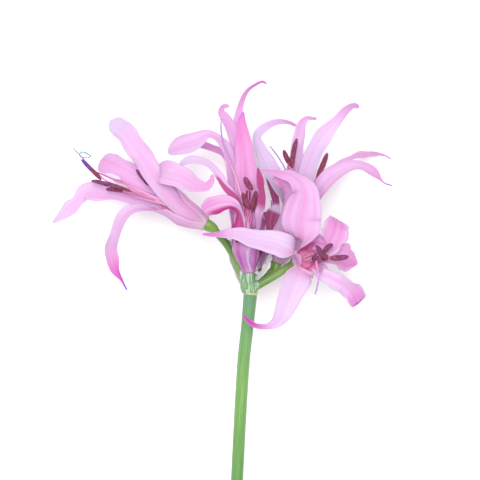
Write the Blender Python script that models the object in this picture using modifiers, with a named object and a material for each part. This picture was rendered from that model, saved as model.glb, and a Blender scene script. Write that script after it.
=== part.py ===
"""Nerine flower stem: one cut scape lying on a surface, with an umbel of five open flowers.

X runs across the stem, +Y from the cut end to the flowers and +Z up from the surface.
Points are written in millimetres from the joint ring under the umbel, which lies above the
surface by RING_HEIGHT, and are turned into metres as each piece is made.
"""

import math

import bmesh
import bpy
import numpy as np
from mathutils import Matrix, Vector

MM = 0.001
RING_HEIGHT = 38.0
RING_FROM_ORIGIN = (11.4, 102.7)

SCAPE_PATH = [(0, 0, 0), (-1.5, -16, -1.5), (-3.4, -35, -3.6), (-6, -84, -9.5), (-8.6, -150, -17.5),
              (-9.6, -225, -26.5), (-8.5, -301, -34.5)]
SCAPE_RADIUS = [3.05, 2.85, 2.8, 2.75, 2.9, 3.2, 3.45]
SCAPE_SIDES = 14

TEPAL_THICKNESS = 0.75
TEPAL_COLUMNS = 4
TIP_ROUNDING = 0.6
FUNNEL_CUP = 0.5
OPEN_CUP = 0.16
CUP_OPENS_BY = 0.3
WAVES_A_LENGTH = 3.3
WAVES_BEGIN = 0.3
WAVES_FADE = 0.15
EDGE_SHIFT = 0.37
WAVE_STEP = 0.78
FUNNEL_STEPS = (1.0, 5.0, 11.0)
FUNNEL_RADIUS = (3.4, 5.3, 6.8)
FUNNEL_WIDTH = (6.8, 7.6, 8.0)
SPREADS = (0.16, 0.5)
CORE_LENGTH = 6.0
CORE_RADIUS = 4.0
BRACT_THICKNESS = 0.65
BRACT_WAVE = 0.4
BRACT_PHASE = 0.1

UMBEL_BASE = (-0.4, 4.2, 0.0)
UMBEL_RADII = (4.2, 4.1, 4.9)
OVARY_LENGTH = 6.4
OVARY_RADIUS = 3.1
OVARY_GAP = 0.35
OVARY_LOBES = 0.07
PEDICEL_RADIUS = 1.7
DISC_RADII = (2.0, 2.0, 0.8)
DISC_RISE = 1.2
THROAT_RUN = 9.0
FILAMENT_RADII = (0.57, 0.5)
FILAMENT_TURN = 20.0
FILAMENT_FOOT = 1.3
FILAMENT_SPREAD = 1.4
FILAMENT_EASE = 0.4
STYLE_RADII = (0.55, 0.45)
STYLE_RISE = 8.0
ANTHER_RADII = (1.35, 1.08)
STIGMA_RADII = (0.8, 0.8, 1.1)

# Each flower: the pedicel's way from the umbel, the middle of its ovary, the way its funnel
# points, and its tepals. Some have their own funnel radii, their own shares of a tepal's length
# where it leaves the funnel and where it lies open, or tepals with blunt ends. A tepal has its angle
# round the funnel, how much its edge waves, the ways its inner face looks at even steps from where
# it lies open to its tip, and the points that its midrib passes after it leaves the funnel, each
# with its width there.
FLOWERS = {
    "left": {
        "pedicel": [(-1.8, 5, -0.6), (-4.4, 9.6, -1.2), (-7.4, 16.2, -0.8), (-11, 22.2, 0.8), (-15, 27, 2.2)],
        "ovary": (-18.0, 30.0, 3.0),
        "axis": (-0.88, 0.46, 0.12),
        "funnel": (3.3, 4.8, 6.0),
        "tepals": {
            "1": (236, 0.7, [(0.1, 0.3, 0.95), (0.1, 0.5, 0.9), (0.5, 0.4, 0.7), (0.3, 0.6, 0.7)],
                  [(-38, 38.5, 0, 9.5), (-47, 41.2, 0, 8), (-56.8, 43.8, 1.5, 6.8),
                   (-65.7, 44.9, 3, 7.6), (-71, 45.3, 4, 8.8), (-74.8, 44.6, 4, 8.2),
                   (-77.6, 41.4, 3.5, 5.4), (-80.6, 38.6, 3, 6.4), (-84, 35.4, 2, 5.2),
                   (-89.1, 31.5, 0, 1.2)]),
            "2": (300, 0.6, [(0.3, 0.3, 0.9), (0.4, 0.1, 0.9)],
                  [(-39.1, 35.4, 6, 9), (-46.4, 37.8, 7.5, 6), (-53.4, 37.3, 7, 5),
                   (-58.2, 33, 5, 5.4), (-61.1, 26.1, 1, 5), (-63.3, 18.9, -4, 6.8),
                   (-61.5, 10.7, -8, 4.2), (-58.7, 5.6, -11, 1.6), (-56.1, 0.6, -13, 0.7)]),
            "3": (132, 0.5, [(0.1, -0.1, 1), (-0.8, 0.5, 0.3)],
                  [(-38.1, 43.7, -2, 9.5), (-45.1, 47.8, -2.6, 10.4), (-52.6, 52.1, -3, 11),
                   (-59.8, 56, -3, 10.8), (-64.9, 58.5, -5.5, 10.2), (-68.2, 60, -9.5, 7)]),
            "4": (10, 0.5, [(0.2, -0.3, -1), (0.4, -0.6, -0.9), (0.75, -0.6, 0.2)],
                  [(-34.8, 42.5, 10, 9), (-40.5, 49.5, 11.5, 9.4), (-46, 57.6, 12, 9.4),
                   (-51.6, 66, 11.5, 9.4), (-56.2, 72, 9, 9.4), (-59.8, 75.4, 5, 8.8),
                   (-63, 77.6, 1, 7)]),
            "5": (72, 0.4, [(-0.7, 0.4, 0.7), (0.1, 0.2, 1), (0.2, 0.1, 1)],
                  [(-30.6, 44.8, 7.5, 8.4), (-37.7, 50.3, 10, 9), (-40, 53.3, 13, 10),
                   (-37, 53.5, 15.5, 11), (-30.8, 51.4, 16, 10.4), (-24.6, 48.2, 15, 7),
                   (-19.6, 47.6, 14, 4.2), (-17.2, 50.4, 13.8, 2.6), (-17.2, 52.9, 13.5, 1.4)]),
            "6": (184, 0.5, [(-0.7, 0.2, 0.6), (-1, 0.2, -0.2)],
                  [(-38.2, 41.6, -5.5, 7.4), (-45.4, 44.2, -10, 7.4), (-51.4, 45.9, -17, 6.4),
                   (-54.4, 46.2, -25, 5.4), (-54.7, 45.3, -32, 4), (-52.4, 43.8, -36.9, 2.4)]),
        },
    },
    "centre": {
        "pedicel": [(-0.4, 2.5, 1), (-0.4, 4.2, 2), (-0.5, 5.8, 3)],
        "ovary": (-0.6, 7.3, 3.7),
        "axis": (-0.06, 0.97, 0.22),
        "blunt": ("2",),
        "tepals": {
            "1": (125, 0.3, [(0.1, -0.1, 1), (0.1, -0.2, 1)],
                  [(-0.7, 29, 3.5, 9.5), (-1.4, 37.9, 3, 10.4), (-2, 47.2, 3.5, 10.8),
                   (-2.4, 57.5, 4, 9.8), (-3.3, 69.1, 4, 6.8), (-4.1, 76.3, 3.5, 4.2),
                   (-3.2, 81.5, 3, 0.9)]),
            "2": (325, 0.4, [(-0.5, 0.3, 0.8), (-0.5, -0.1, 0.85)],
                  [(-4.4, 31.6, 12, 5.6), (-4.8, 36.4, 13.6, 4.2), (-7.4, 39.8, 15.3, 4.6),
                   (-12, 40.2, 15.5, 7.4), (-17, 38.8, 14.2, 8.2), (-21.1, 36.6, 12.3, 5.4)]),
            "3": (275, 0.3, [(0.2, 0.5, 0.8), (0, 0.6, 0.8), (-0.2, 0.7, 0.7)],
                  [(-6.4, 29, 8, 6.4), (-5.6, 36.6, 9.5, 4.6), (-7.2, 42.6, 10.5, 3.8),
                   (-11.2, 47.6, 11, 4), (-14, 52.2, 11.2, 3.9), (-17.6, 56.6, 11.4, 4),
                   (-22.9, 59.2, 11.5, 4.4), (-28.3, 58.8, 11, 4.8), (-31.9, 57, 9.5, 3)]),
            "4": (225, 0.5, [(0.4, 0.4, 0.85), (0.2, 0.3, 0.9), (0.1, 0.6, 0.8)],
                  [(-6.1, 28.8, 0, 8), (-6.8, 39.2, -1.5, 8.5), (-7.4, 50, -2, 8), (-9, 59.9, -1, 6.2),
                   (-12.6, 67.5, 1, 4.2), (-18.6, 71.2, 3, 4.2), (-24.7, 68.2, 4, 8.8),
                   (-31.6, 65.8, 3, 9.6), (-37.3, 63.4, 0.5, 5)]),
            "5": (175, 0.4, [(0.2, 0, 1), (0.3, 0, 1), (0.6, -0.3, 0.7)],
                  [(-2.5, 29, -2.4, 8), (-2.8, 42, -5.4, 9), (-3.6, 54.7, -8, 9), (-5.4, 64.7, -8.5, 8),
                   (-7.9, 72.9, -8.5, 6.4), (-11.1, 78.6, -8, 5.2), (-13.3, 81.9, -7.5, 3.8),
                   (-12.3, 84.6, -7, 2.5), (-9.3, 84.5, -6.5, 1.7)]),
            "6": (35, 0.3, [(-0.8, 0, 0.6), (-0.7, 0, 0.7)],
                  [(3.4, 29.2, 12, 4.4), (3.8, 34.9, 13.5, 4.6), (5, 40.2, 15, 5.4), (5.1, 46, 16, 5),
                   (4.2, 51.2, 16.5, 3.8), (3.2, 55.9, 16.5, 0.9)]),
        },
    },
    "upper_right": {
        "pedicel": [(1.2, 4.2, -1), (4, 6.6, -2.1), (7, 8.6, -2.5), (9.3, 9.8, -2.3)],
        "ovary": (11.2, 11.2, -2.2),
        "axis": (0.34, 0.94, 0.0),
        "tepals": {
            "1": (175, 0.5, [(-0.4, 0.2, 0.9), (-0.2, 0, 1), (0.5, -0.6, 0.6)],
                  [(21.7, 38.1, -9.5, 8), (24.1, 48.4, -9, 8.6), (27.5, 59.9, -6.5, 8.6),
                   (32.1, 69.3, -4, 8.2), (38.6, 77.3, -2.5, 5.4), (43.2, 82.7, -4, 4),
                   (47, 84.9, -7, 2.8), (49.4, 84, -10, 2)]),
            "2": (75, 0.5, [(-0.4, 0.4, 0.8), (0, 0.5, 0.85), (0.2, 0.6, 0.75)],
                  [(27.1, 36.9, -1.5, 8.4), (30.3, 45, 1, 9), (35.2, 51.7, 3, 8.4), (41.6, 56.1, 4, 7),
                   (47.7, 57.2, 3, 5.8), (53.3, 55.6, 0.5, 4.6), (57.5, 52.7, -2, 3.4),
                   (60.4, 49.8, -5, 1.4), (64.5, 48.4, -8, 0.7)]),
            "3": (125, 0.5, [(-0.5, 0.5, 0.7), (0.5, 0.8, 0.3)],
                  [(26.6, 37.6, -8.5, 7), (31.3, 48.5, -12, 6.6), (37.8, 56.4, -15.5, 5.2),
                   (44.5, 60.4, -19.5, 4.4), (50.8, 62.9, -25, 4.2), (57.2, 64.1, -31, 3.8),
                   (62.6, 63.5, -34.8, 2.6), (66.3, 61.7, -36.8, 0.9)]),
            "4": (225, 0.5, [(0.2, 0, 1), (0.2, 0, 1), (0.5, 0, 0.8)],
                  [(17.5, 38.1, -8.5, 7.5), (19.4, 50.3, -10.5, 7.6), (20.8, 61.7, -11, 6.8),
                   (21.8, 70.3, -10, 5.6), (23.2, 76.3, -9, 4.4), (25.5, 79.1, -9.5, 2.4),
                   (28.1, 79.2, -11, 1.7), (30.4, 79.2, -13, 1.3)]),
            "5": (290, 0.4, [(0.5, 0.3, 0.8), (0.5, 0, 0.8), (0.3, -0.7, 0.3)],
                  [(14.9, 38, -3.5, 8.8), (12, 49, -5, 9.8), (7.3, 58.5, -6, 9), (3.7, 65.8, -7, 6.4),
                   (2.8, 70.7, -8, 5), (5.3, 74.3, -9, 4.2), (9.4, 77, -10.5, 3.4), (14, 78, -12, 2.6),
                   (18.1, 77.5, -14, 2.2), (21.4, 75.9, -16.5, 1.4)]),
            "6": (0, 0.4, [(0.3, 0.1, -1), (0.5, -0.4, -0.7)],
                  [(18.9, 35.5, 8.5, 8.8), (18.6, 42.6, 12.5, 9), (16.4, 47.8, 15.5, 8),
                   (13, 50.3, 17.5, 6), (9.7, 50.5, 18.5, 2.5)]),
        },
    },
    "lower_right": {
        "pedicel": [(1.6, 2.4, 1), (4.6, 4.2, 2), (8.6, 6.4, 2.4), (12.6, 8.8, 2.2), (17, 11.8, 2.4)],
        "ovary": (20.4, 14.2, 4.0),
        "axis": (0.42, 0.14, 0.9),
        "spreads": (0.21, 0.38),
        "blunt": ("4", "6"),
        "tepals": {
            "1": (283, 0.4, [(0.2, 0.1, -1), (0.3, -0.5, -0.8), (0.2, -0.9, -0.4)],
                  [(22.6, 26.2, 19.4, 16), (21.8, 33.1, 21, 18.4), (23.2, 40.1, 22.5, 16),
                   (22.8, 46.6, 24, 10.4), (17.8, 51.6, 25, 6.2), (11.9, 53.3, 25, 4.8),
                   (4.9, 54.7, 22, 1.3)]),
            "2": (346, 0.3, [(0.1, 0.3, 0.95), (0.1, 0.6, 0.8)],
                  [(18.2, 18.8, 21.2, 13), (13, 21.7, 21.6, 12), (7.6, 23, 21.5, 10.6),
                   (1.2, 24.2, 21.5, 9.4), (-4.7, 26.2, 20.5, 7), (-10, 26.5, 19.5, 4.8),
                   (-15.8, 26.1, 18, 2.9), (-21.5, 26.4, 17, 1)]),
            "3": (30, 0.3, [(0.3, 0.2, 0.9), (0.3, 0.3, 0.9), (0.2, 0.8, 0.5)],
                  [(22, 11, 21.4, 14.4), (18.8, 3.4, 22, 11.8), (16.2, -2.9, 22, 10),
                   (13.9, -8.4, 22, 8.4), (11.1, -12.6, 21, 4.8), (6.5, -14.4, 19.5, 3.2),
                   (1.2, -13.6, 17, 3.2), (-3.5, -9.6, 14, 0.9)]),
            "4": (230, 0.6, [(0.3, 0.2, 0.9), (0.3, 0.3, 0.8)],
                  [(33.4, 21.6, 18.6, 10), (36.4, 25.6, 18, 12.2), (37.9, 29.4, 16, 11.6),
                   (38.9, 32.5, 12.5, 9.8)]),
            "5": (172, 0.5, [(-0.2, 0.3, 0.9), (0.3, 0.1, 0.9)],
                  [(34.6, 17.4, 17.2, 8.6), (38.4, 16.9, 16, 11), (41.4, 16, 14, 12.4),
                   (44, 14.8, 11.4, 9), (47.6, 13.2, 8.5, 1)]),
            "6": (106, 0.5, [(0.1, 0.3, 0.9), (-0.3, -0.3, 0.9), (0.3, 0.2, 0.9)],
                  [(30.4, 9.3, 19.4, 5.6), (34.2, 7.6, 20.6, 6.6), (38.4, 5.5, 20.8, 7.8),
                   (42, 3.4, 20, 8.2), (45.3, 0.5, 18, 9), (47.7, -3.8, 15.5, 9)]),
        },
    },
    "back": {
        "pedicel": [(0.5, 2, -2), (2.4, 3.6, -4.4), (4.2, 5, -6.4)],
        "ovary": (6.2, 7.4, -8.0),
        "axis": (0.12, 0.9, -0.42),
        "tepals": {
            "1": (322, 0.3, [(0.3, 0.1, 0.9), (0.4, 0, 0.9), (0.6, -0.6, 0.3)],
                  [(3.9, 34.3, -11, 6.5), (-0.4, 47.1, -13, 6.8), (-4.5, 60.4, -14, 6.6),
                   (-6.1, 71.9, -14.5, 5.4), (-5.3, 82, -15, 3.9), (-3.9, 87.9, -15, 3.1),
                   (-1.1, 92.5, -15.5, 2.7), (2.8, 95.4, -16.5, 2.1), (5.6, 96.6, -18, 1.5),
                   (7.8, 95.5, -20, 0.7)]),
            "2": (22, 0.3, [(0, 0.3, -1), (0, 0.5, -0.8)],
                  [(9.4, 30.2, -8.5, 8), (10.2, 35, -9, 7.4), (11.7, 39.4, -9.5, 3.6),
                   (11, 44.2, -11, 3.4), (9.2, 49, -12.5, 3), (7.3, 53.1, -13.5, 0.9)]),
            "3": (80, 0.5, [(-0.6, 0.6, 0.5), (0.3, 0.9, -0.2)],
                  [(14.3, 29.8, -16, 7.2), (18.3, 38.1, -20.5, 6.8), (21.9, 44.9, -26, 5.4),
                   (24.4, 48.3, -32.5, 2.6)]),
            "4": (140, 0.5, [(-0.1, 0.9, 0.4), (0.2, 0.3, -0.9)],
                  [(11.4, 26.2, -22, 6.8), (14.3, 31.6, -31, 5.8), (15.4, 28.5, -36.9, 2.6)]),
            "5": (200, 0.5, [(0.3, 0.9, 0.2), (0.1, 0.3, -0.9)],
                  [(5, 26.2, -23, 6.8), (1.9, 31.4, -31.4, 5.8), (-1.2, 28.1, -36.9, 2.6)]),
            "6": (262, 0.4, [(0.5, 0.5, 0.7), (-0.1, 0.5, 0.85)],
                  [(1.2, 30.3, -14.5, 6.4), (-3.1, 42.2, -17, 6), (-7.7, 56, -17.5, 5),
                   (-12.3, 63.4, -17, 4.2), (-18.5, 66.2, -16.5, 4.2), (-24, 68, -17, 3.4)]),
        },
    },
}

# Each flower's anthers as lower end and upper end, and the way of its style, from its throat.
STAMENS = {
    "left": {
        "anthers": [((-66.4, 50.6, 11), (-75.2, 59.6, 11.5)), ((-63.0, 48.0, 10), (-70.8, 50.2, 10.5)),
                    ((-53.0, 45.4, 12.5), (-65.6, 49.6, 15)), ((-57.0, 45.6, 9), (-64.4, 46.4, 9.5)),
                    ((-45.6, 48.2, 4.6), (-51.2, 55.4, 5)), ((-58.0, 50.8, 6), (-65.0, 53.2, 6.5))],
        "style": [(-48, 44.6, 7), (-62, 48.8, 8), (-70, 55.2, 8), (-76.4, 62, 8)],
        "anther_size": 0.75,
    },
    "centre": {
        "anthers": [((0.9, 46.2, 12), (-2.7, 51.8, 13)), ((-0.2, 37.4, 13.5), (-3.6, 44.8, 14.5)),
                    ((0.2, 36.2, 10.5), (2.4, 45.6, 11)), ((-2.4, 38.4, 9.4), (-3.0, 43.2, 9.8)),
                    ((-1.2, 41.2, 8.8), (-1.0, 46.0, 9)), ((0.4, 37.6, 12.6), (1.6, 43.2, 13.2))],
        "style": [(-2.2, 35, 8.2), (-4.8, 46, 7.8), (-7.8, 55, 7.4), (-10.6, 62, 5.2),
                  (-12.4, 68, 4), (-13.2, 73, 3), (-13.2, 77.6, 2.4)],
    },
    "upper_right": {
        "anthers": [((18.6, 57.0, -1), (14.9, 64.4, 0)), ((18.6, 56.2, 1.5), (20.8, 69.4, 2)),
                    ((29.8, 50.8, -4.4), (34.8, 63.2, -4.4)), ((19.4, 45.0, -1.5), (19.0, 51.0, -1)),
                    ((22.5, 42.0, -0.5), (22.0, 48.5, 0)), ((16.2, 47.0, -2), (13.8, 52.6, -2))],
        "style": [(18.8, 40, -1.5), (16.6, 53, 0.5), (13.2, 60, 1.5), (9.2, 65.4, 2.5)],
    },
    "lower_right": {
        "anthers": [((33.6, 15.2, 29), (28.4, 21.6, 31)), ((31.8, 18.4, 25.5), (35.8, 22.0, 26)),
                    ((34.6, 15.8, 26.5), (42.6, 16.6, 28)), ((27.4, 14.6, 22.4), (28.6, 17.2, 26)),
                    ((31.4, 16.6, 22.6), (30.6, 18.8, 26.4)), ((31.4, 15.2, 21.4), (33.2, 17.2, 24.4))],
        "style": [(28.8, 13.0, 25), (29.6, 8.6, 26.8), (29.2, 4.4, 27.4), (28.2, 0.6, 27)],
    },
    "back": {
        "anthers": [((8.2, 32.8, -25.4), (6.6, 36.6, -30)), ((9.8, 34.0, -24.4), (10.6, 38.6, -28)),
                    ((8.6, 32.4, -27.4), (8.6, 35.4, -32)), ((10.8, 32.8, -26), (13.4, 35.6, -30)),
                    ((9.6, 34.8, -22), (11.0, 40.4, -24)), ((7.2, 31.8, -27.4), (5.4, 34.2, -32))],
        "style": [(8.8, 33.6, -23.6), (9.8, 38.4, -28), (10, 40.6, -31), (10, 42, -33.4)],
    },
}

# Each bract: the way it faces at its foot and at its tip, and its way up with its width there.
BRACTS = {
    "right": ((0.5, -0.2, 0.84), (0.2, 0.2, 1),
              [(3, 6, 4.1, 1.2), (5, 8.8, 5.8, 2.4), (6.9, 11.6, 6.6, 3), (8.3, 15, 7, 2.4),
               (8.8, 19, 6.8, 1.2)]),
    "left": ((0.75, 0.1, 0.65), (0.3, 0.2, 0.9),
             [(-3.7, 3.3, -3.6, 1.2), (-5.6, 8, -5, 3.4), (-7.4, 13.6, -6.6, 4.2), (-9, 19, -8.6, 3.4),
              (-9.6, 23.6, -11.4, 1.6)]),
}


def place(point):
    """A point in millimetres from the ring, as metres from the part's origin."""
    x, y, z = point
    return Vector(((x + RING_FROM_ORIGIN[0]) * MM, (y + RING_FROM_ORIGIN[1]) * MM, (z + RING_HEIGHT) * MM))


def clear_scene():
    for thing in list(bpy.data.objects):
        bpy.data.objects.remove(thing)


def material(name, colour, roughness=0.5):
    made = bpy.data.materials.new(name)
    made.use_nodes = True
    shader = made.node_tree.nodes["Principled BSDF"]
    shader.inputs["Base Color"].default_value = (*colour, 1.0)
    shader.inputs["Roughness"].default_value = roughness
    return made


def new_object(name, mesh, collection):
    made = bpy.data.objects.new(name, mesh)
    collection.objects.link(made)
    return made


def smooth_path(points, count):
    """Evenly spaced points on a smooth curve through the given ones, with any width they carry."""
    knots = [np.array(p, dtype=float) for p in points]
    knots = [2 * knots[0] - knots[1], *knots, 2 * knots[-1] - knots[-2]]
    fine = []
    for a, b, c, d in zip(knots, knots[1:], knots[2:], knots[3:]):
        for step in range(24):
            t = step / 24
            fine.append(0.5 * (2 * b + (c - a) * t + (2 * a - 5 * b + 4 * c - d) * t * t
                               + (3 * b - a - 3 * c + d) * t ** 3))
    fine.append(knots[-2])
    fine = np.array(fine)
    steps = np.linalg.norm(np.diff(fine[:, :3], axis=0), axis=1)
    run = np.concatenate([[0], np.cumsum(steps)])
    wanted = np.linspace(0, run[-1], count)
    return np.stack([np.interp(wanted, run, column) for column in fine.T], axis=1)


def tangents(points):
    slopes = np.gradient(points, axis=0)
    return slopes / np.linalg.norm(slopes, axis=1)[:, None]


def unit(vector):
    vector = np.array(vector, dtype=float)
    return vector / np.linalg.norm(vector)


def blade(name, points, facings, wave, phase, collection, thickness=TEPAL_THICKNESS, blunt=False):
    """A thin waved blade along a curve, its inner face looking the way the facings say.

    Each point has its place and then the blade's width there. Unless blunt, its tip is narrowed.
    """
    rows = len(points) - 1
    knots = smooth_path(points, rows + 1)
    spine, widths = knots[:, :3], knots[:, 3]
    if not blunt:
        widths[-1] *= TIP_ROUNDING
    along = tangents(spine)
    verts = []
    for row in range(rows + 1):
        share = row / rows
        look = np.array([np.interp(share, [f[0] for f in facings], [f[1][axis] for f in facings])
                         for axis in range(3)])
        look = unit(look - along[row] * look.dot(along[row]))
        side = np.cross(along[row], look)
        half = max(widths[row], thickness) / 2
        cup = FUNNEL_CUP + (OPEN_CUP - FUNNEL_CUP) * min(1, share / CUP_OPENS_BY)
        growth = min(1, max(0, share / WAVES_BEGIN - 1))
        ripple = wave * growth * min(1, (1 - share) / WAVES_FADE)
        for column in range(TEPAL_COLUMNS + 1):
            u = 2 * column / TEPAL_COLUMNS - 1
            shift = EDGE_SHIFT if u > 0 else 0
            turn = 2 * math.pi * (WAVES_A_LENGTH * share + phase + shift)
            lift = cup * half * u * u + ripple * u * u * math.sin(turn)
            verts.append(spine[row] + side * half * u + look * lift)
    faces = []
    for row in range(rows):
        for column in range(TEPAL_COLUMNS):
            a = row * (TEPAL_COLUMNS + 1) + column
            b, c, d = a + 1, a + TEPAL_COLUMNS + 2, a + TEPAL_COLUMNS + 1
            faces += [(a, b, c), (a, c, d)]
    mesh = bpy.data.meshes.new(name)
    mesh.from_pydata([place(v) for v in verts], [], faces)
    mesh.update()
    made = new_object(name, mesh, collection)
    solid = made.modifiers.new("thickness", "SOLIDIFY")
    solid.thickness = thickness * MM
    solid.offset = 0
    return made


def cross_directions(axis):
    """An axis as a unit vector, with one direction square to it toward +Z and one square to both."""
    axis = unit(axis)
    first = unit(np.array([0, 0, 1.0]) - axis * axis[2])
    return axis, first, np.cross(axis, first)


def tube(name, points, radii, sides, collection):
    """A closed round tube along a curve."""
    curve = bpy.data.curves.new(name, "CURVE")
    curve.dimensions = "3D"
    curve.bevel_depth = MM
    curve.bevel_resolution = max(0, (sides - 4) // 2)
    curve.use_fill_caps = True
    count = len(points) + 2
    path = smooth_path(points, count)
    sizes = np.interp(np.linspace(0, 1, count), np.linspace(0, 1, len(radii)), radii)
    spline = curve.splines.new("POLY")
    spline.points.add(count - 1)
    for point, at, radius in zip(spline.points, path, sizes):
        point.co = (*place(at), 1)
        point.radius = radius
    rough = bpy.data.objects.new(name, curve)
    collection.objects.link(rough)
    return as_welded_mesh(rough, collection)


def as_welded_mesh(thing, collection):
    """The object's finished form as a plain mesh with its seams welded."""
    graph = bpy.context.evaluated_depsgraph_get()
    mesh = bpy.data.meshes.new_from_object(thing.evaluated_get(graph))
    name = thing.name
    bpy.data.objects.remove(thing)
    shape = bmesh.new()
    shape.from_mesh(mesh)
    bmesh.ops.remove_doubles(shape, verts=shape.verts, dist=0.00001)
    bmesh.ops.recalc_face_normals(shape, faces=shape.faces)
    shape.to_mesh(mesh)
    shape.free()
    return new_object(name, mesh, collection)


def lump(name, centre, axis, radii, collection, sides=10, rings=6, lobes=0.0, blunt=1.0):
    """A closed rounded body: radii across, across and along its axis, lobed three ways if asked.

    Below 1, blunt gives it fuller ends.
    """
    shape = bmesh.new()
    bmesh.ops.create_uvsphere(shape, u_segments=sides, v_segments=rings, radius=1)
    axis, first, second = cross_directions(axis)
    turn = Matrix([first, second, axis]).transposed()
    for vert in shape.verts:
        swell = 1 + lobes * math.cos(3 * math.atan2(vert.co.y, vert.co.x))
        reach = math.hypot(vert.co.x, vert.co.y)
        swell *= reach ** (blunt - 1) if reach > 0.01 else 1
        local = Vector(vert.co[n] * radii[n] * (swell if n < 2 else 1) for n in range(3))
        vert.co = place(Vector(centre) + turn @ local)
    mesh = bpy.data.meshes.new(name)
    shape.to_mesh(mesh)
    shape.free()
    return new_object(name, mesh, collection)


def fuse(name, pieces, scratch, target, paint):
    """One body out of overlapping closed pieces."""
    first = pieces[0]
    group = bpy.data.collections.new(name + "_pieces")
    scratch.children.link(group)
    for piece in pieces[1:]:
        scratch.objects.unlink(piece)
        group.objects.link(piece)
    if len(pieces) > 1:
        union = first.modifiers.new("union", "BOOLEAN")
        union.operation = "UNION"
        union.operand_type = "COLLECTION"
        union.collection = group
        union.solver = "MANIFOLD"
    graph = bpy.context.evaluated_depsgraph_get()
    mesh = bpy.data.meshes.new_from_object(first.evaluated_get(graph))
    for piece in pieces:
        bpy.data.objects.remove(piece)
    bpy.data.collections.remove(group)
    made = new_object(name, mesh, target)
    mesh.materials.clear()
    mesh.materials.append(paint)
    for polygon in mesh.polygons:
        polygon.use_smooth = True
        polygon.material_index = 0
    mesh.set_sharp_from_angle(angle=math.radians(50))
    return made


def base_of(flower):
    """Where a flower's funnel begins, just past its ovary."""
    axis, first, second = cross_directions(flower["axis"])
    return np.array(flower["ovary"]) + axis * (OVARY_LENGTH / 2 + OVARY_GAP), axis, first, second


def flower_shift(key):
    """Where a flower's waves start, so that no two flowers wave alike."""
    return list(FLOWERS).index(key) / len(FLOWERS)


def tepal_facings(outward, spreads, looks):
    """A tepal's looks: into the funnel as far as it stands there, then the given ones to its tip."""
    leaves, lies_open = spreads
    shares = np.linspace(lies_open, 1, len(looks))
    opening = [(share, unit(look)) for share, look in zip(shares, looks)]
    return [(0, -outward), (leaves, -outward), *opening]


def perianth(key, flower, scratch, target, paint):
    """Six tepals round a short solid base."""
    base, axis, first, second = base_of(flower)
    radii = flower.get("funnel", FUNNEL_RADIUS)
    core_radii = (CORE_RADIUS, CORE_RADIUS, CORE_LENGTH / 2)
    pieces = [lump("core", base + axis * CORE_LENGTH / 2, axis, core_radii, scratch, blunt=0.5)]
    for number, (angle, wave, looks, points) in flower["tepals"].items():
        turn = math.radians(angle)
        outward = first * math.cos(turn) + second * math.sin(turn)
        roots = [(*(base + axis * step + outward * radius), width)
                 for step, radius, width in zip(FUNNEL_STEPS, radii, FUNNEL_WIDTH)]
        facings = tepal_facings(outward, flower.get("spreads", SPREADS), looks)
        phase = WAVE_STEP * angle / 360 + flower_shift(key)
        pieces.append(blade("tepal_" + number, roots + points, facings, wave, phase, scratch,
                            blunt=number in flower.get("blunt", ())))
    return fuse("perianth_" + key, pieces, scratch, target, paint)


def stamens(key, flower, plan, scratch, target, paint):
    """Six filaments with their anthers, and the style, joined at a small disc in the throat."""
    base, axis, first, second = base_of(flower)
    disc = base + axis * (CORE_LENGTH + DISC_RISE)
    pieces = [lump("disc", disc, axis, DISC_RADII, scratch, sides=8, rings=4)]
    for number, (lower, upper) in enumerate(plan["anthers"]):
        lower, upper = np.array(lower), np.array(upper)
        turn = math.radians(360 * number / len(plan["anthers"]) + FILAMENT_TURN)
        outward = first * math.cos(turn) + second * math.sin(turn)
        root = disc + outward * FILAMENT_FOOT
        middle = (lower + upper) / 2
        leave = disc + axis * THROAT_RUN + outward * FILAMENT_SPREAD
        arrive = middle - (middle - leave) * FILAMENT_EASE
        pieces.append(tube("filament", [root, leave, arrive, middle], FILAMENT_RADII, 4, scratch))
        half_length = np.linalg.norm(upper - lower) / 2
        size = plan.get("anther_size", 1.0)
        radii = (ANTHER_RADII[0] * size, ANTHER_RADII[1] * size, half_length)
        pieces.append(lump("anther", middle, upper - lower, radii, scratch, sides=6, rings=5))
    way = [disc, disc + axis * STYLE_RISE, *[np.array(p) for p in plan["style"]]]
    pieces.append(tube("style", way, STYLE_RADII, 4, scratch))
    pieces.append(lump("stigma", way[-1], way[-1] - way[-2], STIGMA_RADII, scratch, sides=6, rings=4))
    return fuse("stamens_" + key, pieces, scratch, target, paint)


def scape(scratch, target, paint):
    """The green stem: scape, swollen umbel base, five pedicels and their ovaries."""
    pieces = [tube("stalk", SCAPE_PATH, SCAPE_RADIUS, SCAPE_SIDES, scratch)]
    pieces.append(lump("umbel_base", UMBEL_BASE, (0, 1, 0), UMBEL_RADII, scratch,
                       sides=14, rings=8, blunt=0.5))
    for flower in FLOWERS.values():
        ovary = np.array(flower["ovary"])
        ovary_radii = (OVARY_RADIUS, OVARY_RADIUS, OVARY_LENGTH / 2)
        pieces.append(tube("pedicel", [*flower["pedicel"], ovary], [PEDICEL_RADIUS] * 2, 8, scratch))
        pieces.append(lump("ovary", ovary, flower["axis"], ovary_radii, scratch,
                           sides=12, rings=7, lobes=OVARY_LOBES, blunt=0.6))
    return fuse("scape", pieces, scratch, target, paint)


def bract(key, plan, scratch, target, paint):
    """A papery bract left at the foot of the umbel."""
    at_foot, at_tip, points = plan
    facings = [(0, unit(at_foot)), (1, unit(at_tip))]
    piece = blade("bract_" + key, points, facings, BRACT_WAVE, BRACT_PHASE, scratch,
                  thickness=BRACT_THICKNESS)
    return fuse("bract_" + key, [piece], scratch, target, paint)


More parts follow.
